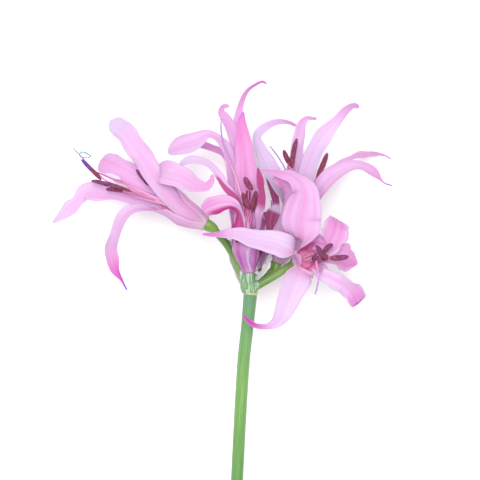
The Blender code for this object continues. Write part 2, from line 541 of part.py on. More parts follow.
def main():
    clear_scene()
    target = bpy.data.collections.new("nerine_flower_stem")
    scratch = bpy.data.collections.new("workings")
    bpy.context.scene.collection.children.link(target)
    bpy.context.scene.collection.children.link(scratch)
    green = material("stem_green", (0.22, 0.45, 0.16), 0.45)
    pink = material("tepal_pink", (0.86, 0.45, 0.72), 0.5)
    maroon = material("stamen_maroon", (0.3, 0.07, 0.16), 0.6)
    papery = material("bract_papery", (0.82, 0.76, 0.66), 0.7)
    scape(scratch, target, green)
    for key, flower in FLOWERS.items():
        perianth(key, flower, scratch, target, pink)
        stamens(key, flower, STAMENS[key], scratch, target, maroon)
    for key, plan in BRACTS.items():
        bract(key, plan, scratch, target, papery)
    bpy.data.collections.remove(scratch)


main()
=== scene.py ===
"""Looks of the nerine flower stem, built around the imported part.

Tepals, stamens, stem and bracts are made again as finer pieces along the same lines as the solids
that they stand for. Points are in millimetres from the joint ring under the umbel. X runs across
the stem, +Y from the cut end to the flowers and +Z up from the surface that it lies on.
"""

import math

import bpy
import numpy as np
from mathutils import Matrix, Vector


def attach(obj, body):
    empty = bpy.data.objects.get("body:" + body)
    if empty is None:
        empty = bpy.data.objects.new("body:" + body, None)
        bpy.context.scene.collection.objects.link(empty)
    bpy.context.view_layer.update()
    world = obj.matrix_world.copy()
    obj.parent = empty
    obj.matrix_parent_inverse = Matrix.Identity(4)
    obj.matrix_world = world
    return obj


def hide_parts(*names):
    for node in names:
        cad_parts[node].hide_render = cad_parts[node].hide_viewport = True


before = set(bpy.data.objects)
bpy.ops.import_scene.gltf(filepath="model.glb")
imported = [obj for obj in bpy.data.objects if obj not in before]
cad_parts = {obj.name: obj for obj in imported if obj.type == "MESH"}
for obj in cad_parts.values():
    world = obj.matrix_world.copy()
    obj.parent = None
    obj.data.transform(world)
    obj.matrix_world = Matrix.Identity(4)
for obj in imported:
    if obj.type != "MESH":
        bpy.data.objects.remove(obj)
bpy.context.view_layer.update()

MM = 0.001
# A curve is worked out in so many steps from one given point to the next.
CURVE_STEPS = 24
# Where the joint ring is from the part's origin.
RING_PLACE = (11.4, 102.7, 38.0)

# The scape's way down from the ring, its radii there, and how far below the ring they hold. It
# begins inside the umbel's base, and its cut end is rounded: each step past it has a share of the
# radius.
SCAPE_PATH = [(0, 0, 0), (-1.5, -16, -1.5), (-3.4, -35, -3.6), (-6, -84, -9.5), (-8.6, -150, -17.5),
              (-9.6, -225, -26.5), (-8.5, -301, -34.5)]
SCAPE_RADIUS = [3.05, 2.85, 2.8, 2.75, 2.9, 3.2, 3.45]
SCAPE_RUNS = [0, 16, 35, 84, 150, 225, 301]
SCAPE_START = (0.1, 2.0, 0.2)
SCAPE_START_RUN = 2.0
SCAPE_START_RADIUS = 3.0
CUT_ROUNDING = ((0.1, 0.96), (0.16, 0.75), (0.2, 0.15))

# A flower's funnel: its radii and its tepals' widths at these steps past the ovary, and the shares
# of a tepal's length where it leaves the funnel and where it lies open.
FUNNEL_STEPS = (1.0, 5.0, 11.0)
FUNNEL_RADIUS = (3.4, 5.3, 6.8)
FUNNEL_WIDTH = (6.8, 7.6, 8.0)
SPREADS = (0.16, 0.5)
OVARY_LENGTH = 6.4
OVARY_RADIUS = 3.1
OVARY_GAP = 0.35

# The photo's frame: 480 pixels a side, with the ring at this pixel and this many millimetres to
# one pixel. The camera is this high above the ring.
PHOTO_SIDE = 480
RING_PIXEL = (250.5, 293.0)
MM_PER_PIXEL = 0.45
CAMERA_HEIGHT = 900.0
CAMERA_SENSOR = 36.0

# Each tepal has its angle round the funnel, how much its edge waves, its five tints, the ways its
# inner face looks at even steps from where it lies open to its tip, and the points that its midrib
# passes after it leaves the funnel, each with its width there.
# Its tone runs from 0, pale lilac, over 1, pink, to 2, deep magenta. Rib is how strong the line
# along the middle is. Tip is how much pinker the end is, or how pale where it is below 0. Edge is
# how pale the margins are. Lip is how magenta one margin is: the right one where it is above 0 and
# the left one where it is below 0. That magenta is partly the tepal's own colour and partly painted
# shade where the margin folds.
TINTS = ("tone", "rib", "tip", "edge", "lip")
LEFT_TEPALS = [
    (236, 0.7, (0.4, 0.6, -0.5, 0.3, 0),
     [(0.1, 0.3, 0.95), (0.1, 0.5, 0.9), (0.5, 0.4, 0.7), (0.3, 0.6, 0.7)],
     [(-38, 38.5, 0, 9.5), (-47, 41.2, 0, 8), (-56.8, 43.8, 1.5, 6.8), (-65.7, 44.9, 3, 7.6),
      (-71, 45.3, 4, 8.8), (-74.8, 44.6, 4, 8.2), (-77.6, 41.4, 3.5, 5.4), (-80.6, 38.6, 3, 6.4),
      (-84, 35.4, 2, 5.2), (-89.1, 31.5, 0, 1.2)]),
    (300, 0.6, (0.35, 0.3, 2.2, 0.2, 0), [(0.3, 0.3, 0.9), (0.4, 0.1, 0.9)],
     [(-39.1, 35.4, 6, 9), (-46.4, 37.8, 7.5, 6), (-53.4, 37.3, 7, 5), (-58.2, 33, 5, 5.4),
      (-61.1, 26.1, 1, 5), (-63.3, 18.9, -4, 6.8), (-61.5, 10.7, -8, 4.2), (-58.7, 5.6, -11, 1.6),
      (-56.1, 0.6, -13, 0.7)]),
    (132, 0.5, (0.5, 0.5, 0.1, 0.3, 0), [(0.1, -0.1, 1), (-0.8, 0.5, 0.3)],
     [(-38.1, 43.7, -2, 9.5), (-45.1, 47.8, -2.6, 10.4), (-52.6, 52.1, -3, 11), (-59.8, 56, -3, 10.8),
      (-64.9, 58.5, -5.5, 10.2), (-68.2, 60, -9.5, 7)]),
    (10, 0.5, (0.4, 0.3, -1, 0.3, 0), [(0.2, -0.3, -1), (0.4, -0.6, -0.9), (0.75, -0.6, 0.2)],
     [(-34.8, 42.5, 10, 9), (-40.5, 49.5, 11.5, 9.4), (-46, 57.6, 12, 9.4), (-51.6, 66, 11.5, 9.4),
      (-56.2, 72, 9, 9.4), (-59.8, 75.4, 5, 8.8), (-63, 77.6, 1, 7)]),
    (72, 0.4, (0.45, 0.6, 0.3, 0.4, 0), [(-0.7, 0.4, 0.7), (0.1, 0.2, 1), (0.2, 0.1, 1)],
     [(-30.6, 44.8, 7.5, 8.4), (-37.7, 50.3, 10, 9), (-40, 53.3, 13, 10), (-37, 53.5, 15.5, 11),
      (-30.8, 51.4, 16, 10.4), (-24.6, 48.2, 15, 7), (-19.6, 47.6, 14, 4.2), (-17.2, 50.4, 13.8, 2.6),
      (-17.2, 52.9, 13.5, 1.4)]),
    (184, 0.5, (0.6, 0.5, 0.3, 0.3, 0), [(-0.7, 0.2, 0.6), (-1, 0.2, -0.2)],
     [(-38.2, 41.6, -5.5, 7.4), (-45.4, 44.2, -10, 7.4), (-51.4, 45.9, -17, 6.4), (-54.4, 46.2, -25, 5.4),
      (-54.7, 45.3, -32, 4), (-52.4, 43.8, -36.9, 2.4)]),
]
CENTRE_TEPALS = [
    (125, 0.3, (0.75, 0.3, 0.5, 0, 0), [(0.1, -0.1, 1), (0.1, -0.2, 1)],
     [(-0.7, 29, 3.5, 9.5), (-1.4, 37.9, 3, 10.4), (-2, 47.2, 3.5, 10.8), (-2.4, 57.5, 4, 9.8),
      (-3.3, 69.1, 4, 6.8), (-4.1, 76.3, 3.5, 4.2), (-3.2, 81.5, 3, 0.9)]),
    (325, 0.4, (0.55, 0.6, 0.2, 0.3, -1), [(-0.5, 0.3, 0.8), (-0.5, -0.1, 0.85)],
     [(-4.4, 31.6, 12, 5.6), (-4.8, 36.4, 13.6, 4.2), (-7.4, 39.8, 15.3, 4.6), (-12, 40.2, 15.5, 7.4),
      (-17, 38.8, 14.2, 8.2), (-21.1, 36.6, 12.3, 5.4)]),
    (275, 0.3, (0.25, 0.2, -0.4, 0.3, 0), [(0.2, 0.5, 0.8), (0, 0.6, 0.8), (-0.2, 0.7, 0.7)],
     [(-6.4, 29, 8, 6.4), (-5.6, 36.6, 9.5, 4.6), (-7.2, 42.6, 10.5, 3.8), (-11.2, 47.6, 11, 4),
      (-14, 52.2, 11.2, 3.9), (-17.6, 56.6, 11.4, 4), (-22.9, 59.2, 11.5, 4.4), (-28.3, 58.8, 11, 4.8),
      (-31.9, 57, 9.5, 3)]),
    (225, 0.5, (0.35, 0.5, 0, 0.4, 0.4), [(0.4, 0.4, 0.85), (0.2, 0.3, 0.9), (0.1, 0.6, 0.8)],
     [(-6.1, 28.8, 0, 8), (-6.8, 39.2, -1.5, 8.5), (-7.4, 50, -2, 8), (-9, 59.9, -1, 6.2),
      (-12.6, 67.5, 1, 4.2), (-18.6, 71.2, 3, 4.2), (-24.7, 68.2, 4, 8.8), (-31.6, 65.8, 3, 9.6),
      (-37.3, 63.4, 0.5, 5)]),
    (175, 0.4, (0.45, 0.3, 0.2, 0.2, 0), [(0.2, 0, 1), (0.3, 0, 1), (0.6, -0.3, 0.7)],
     [(-2.5, 29, -2.4, 8), (-2.8, 42, -5.4, 9), (-3.6, 54.7, -8, 9), (-5.4, 64.7, -8.5, 8),
      (-7.9, 72.9, -8.5, 6.4), (-11.1, 78.6, -8, 5.2), (-13.3, 81.9, -7.5, 3.8), (-12.3, 84.6, -7, 2.5),
      (-9.3, 84.5, -6.5, 1.7)]),
    # Centre tepal 6: its pale margins are partly painted light on lit edges, and its deep magenta end is
    # painted shade in its groove.
    (35, 0.3, (0.5, 0.4, 0.4, 0.6, 0), [(-0.8, 0, 0.6), (-0.7, 0, 0.7)],
     [(3.4, 29.2, 12, 4.4), (3.8, 34.9, 13.5, 4.6), (5, 40.2, 15, 5.4), (5.1, 46, 16, 5),
      (4.2, 51.2, 16.5, 3.8), (3.2, 55.9, 16.5, 0.9)]),
]
UPPER_RIGHT_TEPALS = [
    (175, 0.5, (0.1, 0.2, 0.6, 0.3, 0), [(-0.4, 0.2, 0.9), (-0.2, 0, 1), (0.5, -0.6, 0.6)],
     [(21.7, 38.1, -9.5, 8), (24.1, 48.4, -9, 8.6), (27.5, 59.9, -6.5, 8.6), (32.1, 69.3, -4, 8.2),
      (38.6, 77.3, -2.5, 5.4), (43.2, 82.7, -4, 4), (47, 84.9, -7, 2.8), (49.4, 84, -10, 2)]),
    (75, 0.5, (0.3, 0.4, 0.6, 0.3, 0.4), [(-0.4, 0.4, 0.8), (0, 0.5, 0.85), (0.2, 0.6, 0.75)],
     [(27.1, 36.9, -1.5, 8.4), (30.3, 45, 1, 9), (35.2, 51.7, 3, 8.4), (41.6, 56.1, 4, 7),
      (47.7, 57.2, 3, 5.8), (53.3, 55.6, 0.5, 4.6), (57.5, 52.7, -2, 3.4), (60.4, 49.8, -5, 1.4),
      (64.5, 48.4, -8, 0.7)]),
    (125, 0.5, (0.5, 0.3, 0.6, 0.2, 0), [(-0.5, 0.5, 0.7), (0.5, 0.8, 0.3)],
     [(26.6, 37.6, -8.5, 7), (31.3, 48.5, -12, 6.6), (37.8, 56.4, -15.5, 5.2), (44.5, 60.4, -19.5, 4.4),
      (50.8, 62.9, -25, 4.2), (57.2, 64.1, -31, 3.8), (62.6, 63.5, -34.8, 2.6),
      (66.3, 61.7, -36.8, 0.9)]),
    (225, 0.5, (0.25, 0.3, 0.4, 0.3, 0), [(0.2, 0, 1), (0.2, 0, 1), (0.5, 0, 0.8)],
     [(17.5, 38.1, -8.5, 7.5), (19.4, 50.3, -10.5, 7.6), (20.8, 61.7, -11, 6.8), (21.8, 70.3, -10, 5.6),
      (23.2, 76.3, -9, 4.4), (25.5, 79.1, -9.5, 2.4), (28.1, 79.2, -11, 1.7), (30.4, 79.2, -13, 1.3)]),
    (290, 0.4, (-0.1, 0.1, 0.6, 0.2, 0), [(0.5, 0.3, 0.8), (0.5, 0, 0.8), (0.3, -0.7, 0.3)],
     [(14.9, 38, -3.5, 8.8), (12, 49, -5, 9.8), (7.3, 58.5, -6, 9), (3.7, 65.8, -7, 6.4),
      (2.8, 70.7, -8, 5), (5.3, 74.3, -9, 4.2), (9.4, 77, -10.5, 3.4), (14, 78, -12, 2.6),
      (18.1, 77.5, -14, 2.2), (21.4, 75.9, -16.5, 1.4)]),
    (0, 0.4, (0.6, 0.3, 0.4, 0.4, 0), [(0.3, 0.1, -1), (0.5, -0.4, -0.7)],
     [(18.9, 35.5, 8.5, 8.8), (18.6, 42.6, 12.5, 9), (16.4, 47.8, 15.5, 8), (13, 50.3, 17.5, 6),
      (9.7, 50.5, 18.5, 2.5)]),
]
LOWER_RIGHT_TEPALS = [
    (283, 0.4, (0.5, 0.9, 0.5, 0.3, 0), [(0.2, 0.1, -1), (0.3, -0.5, -0.8), (0.2, -0.9, -0.4)],
     [(22.6, 26.2, 19.4, 16), (21.8, 33.1, 21, 18.4), (23.2, 40.1, 22.5, 16), (22.8, 46.6, 24, 10.4),
      (17.8, 51.6, 25, 6.2), (11.9, 53.3, 25, 4.8), (4.9, 54.7, 22, 1.3)]),
    (346, 0.3, (0.1, 0.1, 1.4, 0.4, 0), [(0.1, 0.3, 0.95), (0.1, 0.6, 0.8)],
     [(18.2, 18.8, 21.2, 13), (13, 21.7, 21.6, 12), (7.6, 23, 21.5, 10.6), (1.2, 24.2, 21.5, 9.4),
      (-4.7, 26.2, 20.5, 7), (-10, 26.5, 19.5, 4.8), (-15.8, 26.1, 18, 2.9), (-21.5, 26.4, 17, 1)]),
    (30, 0.3, (0.1, 0.15, 2.6, 0.3, 0), [(0.3, 0.2, 0.9), (0.3, 0.3, 0.9), (0.2, 0.8, 0.5)],
     [(22, 11, 21.4, 14.4), (18.8, 3.4, 22, 11.8), (16.2, -2.9, 22, 10), (13.9, -8.4, 22, 8.4),
      (11.1, -12.6, 21, 4.8), (6.5, -14.4, 19.5, 3.2), (1.2, -13.6, 17, 3.2), (-3.5, -9.6, 14, 0.9)]),
    (230, 0.6, (0.65, 1.3, 0.4, 0.7, 0.3), [(0.3, 0.2, 0.9), (0.3, 0.3, 0.8)],
     [(33.4, 21.6, 18.6, 10), (36.4, 25.6, 18, 12.2), (37.9, 29.4, 16, 11.6), (38.9, 32.5, 12.5, 9.8)]),
    (172, 0.5, (0.8, 0.5, 0.3, 0.3, 0), [(-0.2, 0.3, 0.9), (0.3, 0.1, 0.9)],
     [(34.6, 17.4, 17.2, 8.6), (38.4, 16.9, 16, 11), (41.4, 16, 14, 12.4), (44, 14.8, 11.4, 9),
      (47.6, 13.2, 8.5, 1)]),
    (106, 0.5, (0.2, 0.9, 0.8, 0.4, -0.3), [(0.1, 0.3, 0.9), (-0.3, -0.3, 0.9), (0.3, 0.2, 0.9)],
     [(30.4, 9.3, 19.4, 5.6), (34.2, 7.6, 20.6, 6.6), (38.4, 5.5, 20.8, 7.8), (42, 3.4, 20, 8.2),
      (45.3, 0.5, 18, 9), (47.7, -3.8, 15.5, 9)]),
]
BACK_TEPALS = [
    (322, 0.3, (0.4, 0.2, 0.9, 0.1, 0), [(0.3, 0.1, 0.9), (0.4, 0, 0.9), (0.6, -0.6, 0.3)],
     [(3.9, 34.3, -11, 6.5), (-0.4, 47.1, -13, 6.8), (-4.5, 60.4, -14, 6.6), (-6.1, 71.9, -14.5, 5.4),
      (-5.3, 82, -15, 3.9), (-3.9, 87.9, -15, 3.1), (-1.1, 92.5, -15.5, 2.7), (2.8, 95.4, -16.5, 2.1),
      (5.6, 96.6, -18, 1.5), (7.8, 95.5, -20, 0.7)]),
    # This tepal's deep tone is in part painted shade, and the maroon laid over it is painted shade.
    (22, 0.3, (1.5, 0.4, 0, 0.1, 0), [(0, 0.3, -1), (0, 0.5, -0.8)],
     [(9.4, 30.2, -8.5, 8), (10.2, 35, -9, 7.4), (11.7, 39.4, -9.5, 3.6), (11, 44.2, -11, 3.4),
      (9.2, 49, -12.5, 3), (7.3, 53.1, -13.5, 0.9)]),
    (80, 0.5, (0.9, 0.5, 0.3, 0.3, 0), [(-0.6, 0.6, 0.5), (0.3, 0.9, -0.2)],
     [(14.3, 29.8, -16, 7.2), (18.3, 38.1, -20.5, 6.8), (21.9, 44.9, -26, 5.4),
      (24.4, 48.3, -32.5, 2.6)]),
    (140, 0.5, (0.8, 0.5, 0.3, 0.3, 0), [(-0.1, 0.9, 0.4), (0.2, 0.3, -0.9)],
     [(11.4, 26.2, -22, 6.8), (14.3, 31.6, -31, 5.8), (15.4, 28.5, -36.9, 2.6)]),
    (200, 0.5, (0.8, 0.5, 0.3, 0.3, 0), [(0.3, 0.9, 0.2), (0.1, 0.3, -0.9)],
     [(5, 26.2, -23, 6.8), (1.9, 31.4, -31.4, 5.8), (-1.2, 28.1, -36.9, 2.6)]),
    (262, 0.4, (0.5, 0.3, 0.3, 0.3, 0), [(0.5, 0.5, 0.7), (-0.1, 0.5, 0.85)],
     [(1.2, 30.3, -14.5, 6.4), (-3.1, 42.2, -17, 6), (-7.7, 56, -17.5, 5), (-12.3, 63.4, -17, 4.2),
      (-18.5, 66.2, -16.5, 4.2), (-24, 68, -17, 3.4)]),
]

# Each flower: the pedicel's way from the umbel, the middle of its ovary, the way its funnel points,
# the tone of its tube from 0, creamy, to 1, striped mauve, its tepals, its anthers as lower end and
# upper end, and the way of its style from its throat. Some have their own funnel radii, their own
# shares of a tepal's length where it leaves the funnel and lies open, or tepals with blunt ends.
FLOWERS = {
    "left": {
        "pedicel": [(-1.8, 5, -0.6), (-4.4, 9.6, -1.2), (-7.4, 16.2, -0.8), (-11, 22.2, 0.8),
                    (-15, 27, 2.2)],
        "ovary": (-18, 30, 3),
        "axis": (-0.88, 0.46, 0.12),
        "funnel": (3.3, 4.8, 6),
        "tube_tone": 0.15,
        "tepals": LEFT_TEPALS,
        "anthers": [((-66.4, 50.6, 11), (-75.2, 59.6, 11.5)), ((-63, 48, 10), (-70.8, 50.2, 10.5)),
                    ((-53, 45.4, 12.5), (-65.6, 49.6, 15)), ((-57, 45.6, 9), (-64.4, 46.4, 9.5)),
                    ((-45.6, 48.2, 4.6), (-51.2, 55.4, 5)), ((-58, 50.8, 6), (-65, 53.2, 6.5))],
        "anther_size": 0.75,
        "style": [(-48, 44.6, 7), (-62, 48.8, 8), (-70, 55.2, 8), (-76.4, 62, 8)],
    },
    "centre": {
        "pedicel": [(-0.4, 2.5, 1), (-0.4, 4.2, 2), (-0.5, 5.8, 3)],
        "ovary": (-0.6, 7.3, 3.7),
        "axis": (-0.06, 0.97, 0.22),
        "blunt": (2,),
        "tube_tone": 1,
        "tepals": CENTRE_TEPALS,
        "anthers": [((0.9, 46.2, 12), (-2.7, 51.8, 13)), ((-0.2, 37.4, 13.5), (-3.6, 44.8, 14.5)),
                    ((0.2, 36.2, 10.5), (2.4, 45.6, 11)), ((-2.4, 38.4, 9.4), (-3, 43.2, 9.8)),
                    ((-1.2, 41.2, 8.8), (-1, 46, 9)), ((0.4, 37.6, 12.6), (1.6, 43.2, 13.2))],
        "style": [(-2.2, 35, 8.2), (-4.8, 46, 7.8), (-7.8, 55, 7.4), (-10.6, 62, 5.2), (-12.4, 68, 4),
                  (-13.2, 73, 3), (-13.2, 77.6, 2.4)],
    },
    "upper_right": {
        "pedicel": [(1.2, 4.2, -1), (4, 6.6, -2.1), (7, 8.6, -2.5), (9.3, 9.8, -2.3)],
        "ovary": (11.2, 11.2, -2.2),
        "axis": (0.34, 0.94, 0),
        "tube_tone": 0.4,
        "tepals": UPPER_RIGHT_TEPALS,
        "anthers": [((18.6, 57, -1), (14.9, 64.4, 0)), ((18.6, 56.2, 1.5), (20.8, 69.4, 2)),
                    ((29.8, 50.8, -4.4), (34.8, 63.2, -4.4)), ((19.4, 45, -1.5), (19, 51, -1)),
                    ((22.5, 42, -0.5), (22, 48.5, 0)), ((16.2, 47, -2), (13.8, 52.6, -2))],
        "style": [(18.8, 40, -1.5), (16.6, 53, 0.5), (13.2, 60, 1.5), (9.2, 65.4, 2.5)],
    },
    "lower_right": {
        "pedicel": [(1.6, 2.4, 1), (4.6, 4.2, 2), (8.6, 6.4, 2.4), (12.6, 8.8, 2.2), (17, 11.8, 2.4)],
        "ovary": (20.4, 14.2, 4),
        "axis": (0.42, 0.14, 0.9),
        "spreads": (0.21, 0.38),
        "blunt": (4, 6),
        "tube_tone": 0,
        "tepals": LOWER_RIGHT_TEPALS,
        "anthers": [((33.6, 15.2, 29), (28.4, 21.6, 31)), ((31.8, 18.4, 25.5), (35.8, 22, 26)),
                    ((34.6, 15.8, 26.5), (42.6, 16.6, 28)), ((27.4, 14.6, 22.4), (28.6, 17.2, 26)),
                    ((31.4, 16.6, 22.6), (30.6, 18.8, 26.4)), ((31.4, 15.2, 21.4), (33.2, 17.2, 24.4))],
        "style": [(28.8, 13, 25), (29.6, 8.6, 26.8), (29.2, 4.4, 27.4), (28.2, 0.6, 27)],
    },
    "back": {
        "pedicel": [(0.5, 2, -2), (2.4, 3.6, -4.4), (4.2, 5, -6.4)],
        "ovary": (6.2, 7.4, -8),
        "axis": (0.12, 0.9, -0.42),
        "tube_tone": 0.8,
        "tepals": BACK_TEPALS,
        "anthers": [((8.2, 32.8, -25.4), (6.6, 36.6, -30)), ((9.8, 34, -24.4), (10.6, 38.6, -28)),
                    ((8.6, 32.4, -27.4), (8.6, 35.4, -32)), ((10.8, 32.8, -26), (13.4, 35.6, -30)),
                    ((9.6, 34.8, -22), (11, 40.4, -24)), ((7.2, 31.8, -27.4), (5.4, 34.2, -32))],
        "style": [(8.8, 33.6, -23.6), (9.8, 38.4, -28), (10, 40.6, -31), (10, 42, -33.4)],
    },
}

# Each bract: the way it faces at its foot and at its tip, and its way up with its width there.
BRACTS = {
    "right": ((0.5, -0.2, 0.84), (0.2, 0.2, 1),
              [(3, 6, 4.1, 1.2), (5, 8.8, 5.8, 2.4), (6.9, 11.6, 6.6, 3), (8.3, 15, 7, 2.4),
               (8.8, 19, 6.8, 1.2)]),
    "left": ((0.75, 0.1, 0.65), (0.3, 0.2, 0.9),
             [(-3.7, 3.3, -3.6, 1.2), (-5.6, 8, -5, 3.4), (-7.4, 13.6, -6.6, 4.2), (-9, 19, -8.6, 3.4),
              (-9.6, 23.6, -11.4, 1.6)]),
}

# Markings of single tepals, by their flower and their number in its list.
# Deep magenta painted shade on folds and grooves: from this share of a tepal's length to that one,
# and whether it tapers to a wedge along the left margin.
FOLD_SHADE_TINTS = ("deep_from", "deep_to", "wedge")
PAINTED_FOLD_SHADE = {("centre", 2): (0.3, 0.68, 1.0), ("centre", 3): (0.4, 0.7, 1.0),
              ("centre", 6): (0.62, 1.1, 0.0)}
NO_FOLD_SHADE = (2.0, 3.0, 0.0)
# How strongly maroon shade is painted on some tepals, and the shares of their length between which
# a pale lilac band is painted instead.
PAINTED_SHADE_TINTS = ("shaded", "lit_from", "lit_to")
PAINTED_SHADE_PARTS = {("back", 2): (0.5, 0.6, 0.68)}
NO_PAINTED_SHADE = (0.0, 2.0, 3.0)
# How violet the very ends of some tepals are.
VIOLET_ENDS = {("left", 2): 1.0, ("upper_right", 2): 0.9, ("upper_right", 3): 0.4, ("centre", 1): 0.2}
# How far, in millimetres, the ragged ends of some tepals reach in and out.
FRAYED_ENDS = {("lower_right", 6): 0.6, ("lower_right", 4): 0.5}

# A blade is a grid of points along and across. It is hollowed a little and thinner at its margins.
BLADE_ROWS = 80
BLADE_COLUMNS = 14
LEAST_WIDTH = 0.4
LEAST_BENT_HALF = 0.8
OPEN_HOLLOW = 0.16
MARGIN_THINNING = 0.72
# Its end is rounded over this many of its end's widths, down to this share of the way.
END_CURVE = 0.55
BLUNT_CURVE = 0.16
LEAST_END = 0.004
LOOKS_EASING = 3
# Its margins wave, slow and fine, each in its own step, from this share of its length to its end.
WAVES_BEGIN = 0.3
WAVES_GROWN_AFTER = 0.3
WAVES_FADE = 0.15
WAVES_A_LENGTH = 3.3
MARGIN_SHIFT = 0.37
CRIMPS_A_LENGTH = (6.5, 9.5)
CRIMP_HEIGHT = 0.5
WOBBLE = 0.13
WOBBLE_PACE = 0.7
# A channel runs along its middle and fades toward its tip. Its end may be ragged.
GROOVE_DEPTH = 0.22
GROOVE_WIDTH = 0.16
GROOVE_FADES = (1.0, 0.5)
GROOVE_FULL_HALF = 3
FRAY_RANGE = (0.9, 1.0)
SEED_RANGE = (0, 40)

TEPAL_VALUES = ("across", "along", "inner", "seed", "tube", "violet")
# Tepals overlap in their tube, in two whorls. They part between these runs from its foot.
TEPAL_COUNT = 6
TEPAL_THICKNESS = 0.5
WAVE_STEP = 0.78
WHORL_STEP = 0.3
TUBE_OVERLAP = 1.3
TUBE_CLOSED = (15.0, 28.0)
SHORT_TUBE_CLOSED = (9.0, 17.0)
SHORT_TUBES = ("back", "lower_right")
# Where a tepal begins at the tube's foot: its step up, its distance from the axis and its width.
TUBE_FOOT = (-0.9, 3.2, 6.8)
# What closes each tube inside, at its foot and under the throat: how far up it stands, half its
# length, how blunt it is, and the share of a tepal's length that it is coloured like.
TUBE_PLUGS = ((0.9, 1.5, 0.3, 0.0), (4.4, 2.0, 1.0, 0.2))
PLUG_TONE = 0.5


def place(points):
    """Points in millimetres from the ring, as metres from the part's origin."""
    return (np.asarray(points, dtype=float) + RING_PLACE) * MM


def unit(vector):
    vector = np.asarray(vector, dtype=float)
    return vector / np.linalg.norm(vector)


def distances(points):
    """How far along a line each of its points is."""
    return np.concatenate([[0], np.cumsum(np.linalg.norm(np.diff(points, axis=0), axis=1))])


def smooth_path(points, count):
    """Evenly spaced points on a smooth curve through the given ones, with any width they carry."""
    knots = [np.array(p, dtype=float) for p in points]
    knots = [2 * knots[0] - knots[1], *knots, 2 * knots[-1] - knots[-2]]
    fine = []
    for a, b, c, d in zip(knots, knots[1:], knots[2:], knots[3:]):
        for t in np.arange(CURVE_STEPS) / CURVE_STEPS:
            fine.append(0.5 * (2 * b + (c - a) * t + (2 * a - 5 * b + 4 * c - d) * t * t
                               + (3 * b - a - 3 * c + d) * t ** 3))
    fine.append(knots[-2])
    fine = np.array(fine)
    run = distances(fine[:, :3])
    wanted = np.linspace(0, run[-1], count)
    return np.stack([np.interp(wanted, run, column) for column in fine.T], axis=1)


def tangents(points):
    slopes = np.gradient(points, axis=0)
    return slopes / np.linalg.norm(slopes, axis=1)[:, None]


def ramp(value, low, high):
    """0 up to low, 1 from high, and a smooth rise between them. Falls instead if high is below low."""
    t = np.clip((value - low) / (high - low), 0, 1)
    return t * t * (3 - 2 * t)


def cross_directions(axis):
    """An axis as a unit vector, with one direction square to it toward +Z and one square to both."""
    axis = unit(axis)
    first = unit(np.array([0, 0, 1.0]) - axis * axis[2])
    return axis, first, np.cross(axis, first)


def turned(first, second, turn):
    """The direction at an angle from the first of two that are square to each other."""
    return first * math.cos(turn) + second * math.sin(turn)


def base_of(flower):
    """Where a flower's funnel begins, just past its ovary."""
    axis, first, second = cross_directions(flower["axis"])
    return np.array(flower["ovary"]) + axis * (OVARY_LENGTH / 2 + OVARY_GAP), axis, first, second


def grid(rows, columns, start=0, closed=False, flip=False):
    """Faces of a sheet of points laid out row by row. Closed joins its last column to its first."""
    width = columns if closed else columns + 1
    faces = []
    for row in range(rows):
        for column in range(columns):
            a = start + row * width + column
            b = start + row * width + (column + 1) % width
            faces.append((a, a + width, b + width, b) if flip else (a, b, b + width, a + width))
    return faces


class Skin:
    """Points, faces and named values of one piece, gathered part by part."""

    def __init__(self, *names):
        self.count = 0
        self.points = []
        self.faces = []
        self.paints = []
        self.values = {name: [] for name in names}

    def add(self, points, faces, paint=0, **values):
        self.faces += [tuple(self.count + corner for corner in face) for face in faces]
        self.paints += [paint] * len(faces)
        self.points.append(points)
        for name, gathered in self.values.items():
            gathered.append(np.broadcast_to(values.get(name, 0.0), len(points)))
        self.count += len(points)

    def piece(self, name, paints, node):
        """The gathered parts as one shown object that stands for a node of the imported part."""
        mesh = bpy.data.meshes.new(name)
        mesh.from_pydata(place(np.concatenate(self.points)), [], self.faces)
        for paint in paints:
            mesh.materials.append(paint)
        mesh.polygons.foreach_set("material_index", self.paints)
        hold(mesh, {value: np.concatenate(gathered) for value, gathered in self.values.items()})
        return dress(bpy.data.objects.new(name, mesh), node)


def hold(mesh, values):
    """Gives a mesh its named values, one for each point, and smooth shading."""
    for name, held in values.items():
        mesh.attributes.new(name, "FLOAT", "POINT").data.foreach_set("value", held.astype(np.float32))
    mesh.polygons.foreach_set("use_smooth", [True] * len(mesh.polygons))
    mesh.update()


def dress(made, node):
    """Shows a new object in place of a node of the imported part."""
    bpy.context.scene.collection.objects.link(made)
    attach(made, "root")
    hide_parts(node)
    return made


def rings(path, radii, sides, section=None, start=(0.3, 0.2, 1)):
    """Points of a tube along a path, ring by ring, and the faces of its side and two ends."""
    side = np.array(start, dtype=float)
    turns = np.arange(sides) * 2 * math.pi / sides
    reach = np.ones(sides) if section is None else section(turns)
    points = []
    for at, way, radius in zip(path, tangents(path), radii):
        side = unit(side - way * side.dot(way))
        other = np.cross(way, side)
        round_ring = np.outer(reach * np.cos(turns), side) + np.outer(reach * np.sin(turns), other)
        points.append(at + radius * round_ring)
    last = (len(path) - 1) * sides
    faces = grid(len(path) - 1, sides, closed=True)
    faces.append(tuple(reversed(range(sides))))
    faces.append(tuple(range(last, last + sides)))
    return np.concatenate(points), faces


def end_rounding(run, end_width, curve):
    """How much of its width a blade keeps close to its tip, so that a blunt tip ends in a curve."""
    reach = np.clip((run[-1] - run) / (curve * end_width), LEAST_END, 1)
    return np.sqrt(1 - (1 - reach) ** 2)


def looks_along(share, facings, along):
    """The way a blade's inner face looks at each share of its length, eased and square to its spine."""
    looks = np.stack([np.interp(share, [f[0] for f in facings], [f[1][axis] for f in facings])
                      for axis in range(3)], axis=1)
    for _ in range(LOOKS_EASING):
        padded = np.concatenate([looks[:1], looks, looks[-1:]])
        looks = (padded[:-2] + 2 * padded[1:-1] + padded[2:]) / 4
    looks = looks - along * np.sum(looks * along, axis=1)[:, None]
    return looks / np.linalg.norm(looks, axis=1)[:, None]


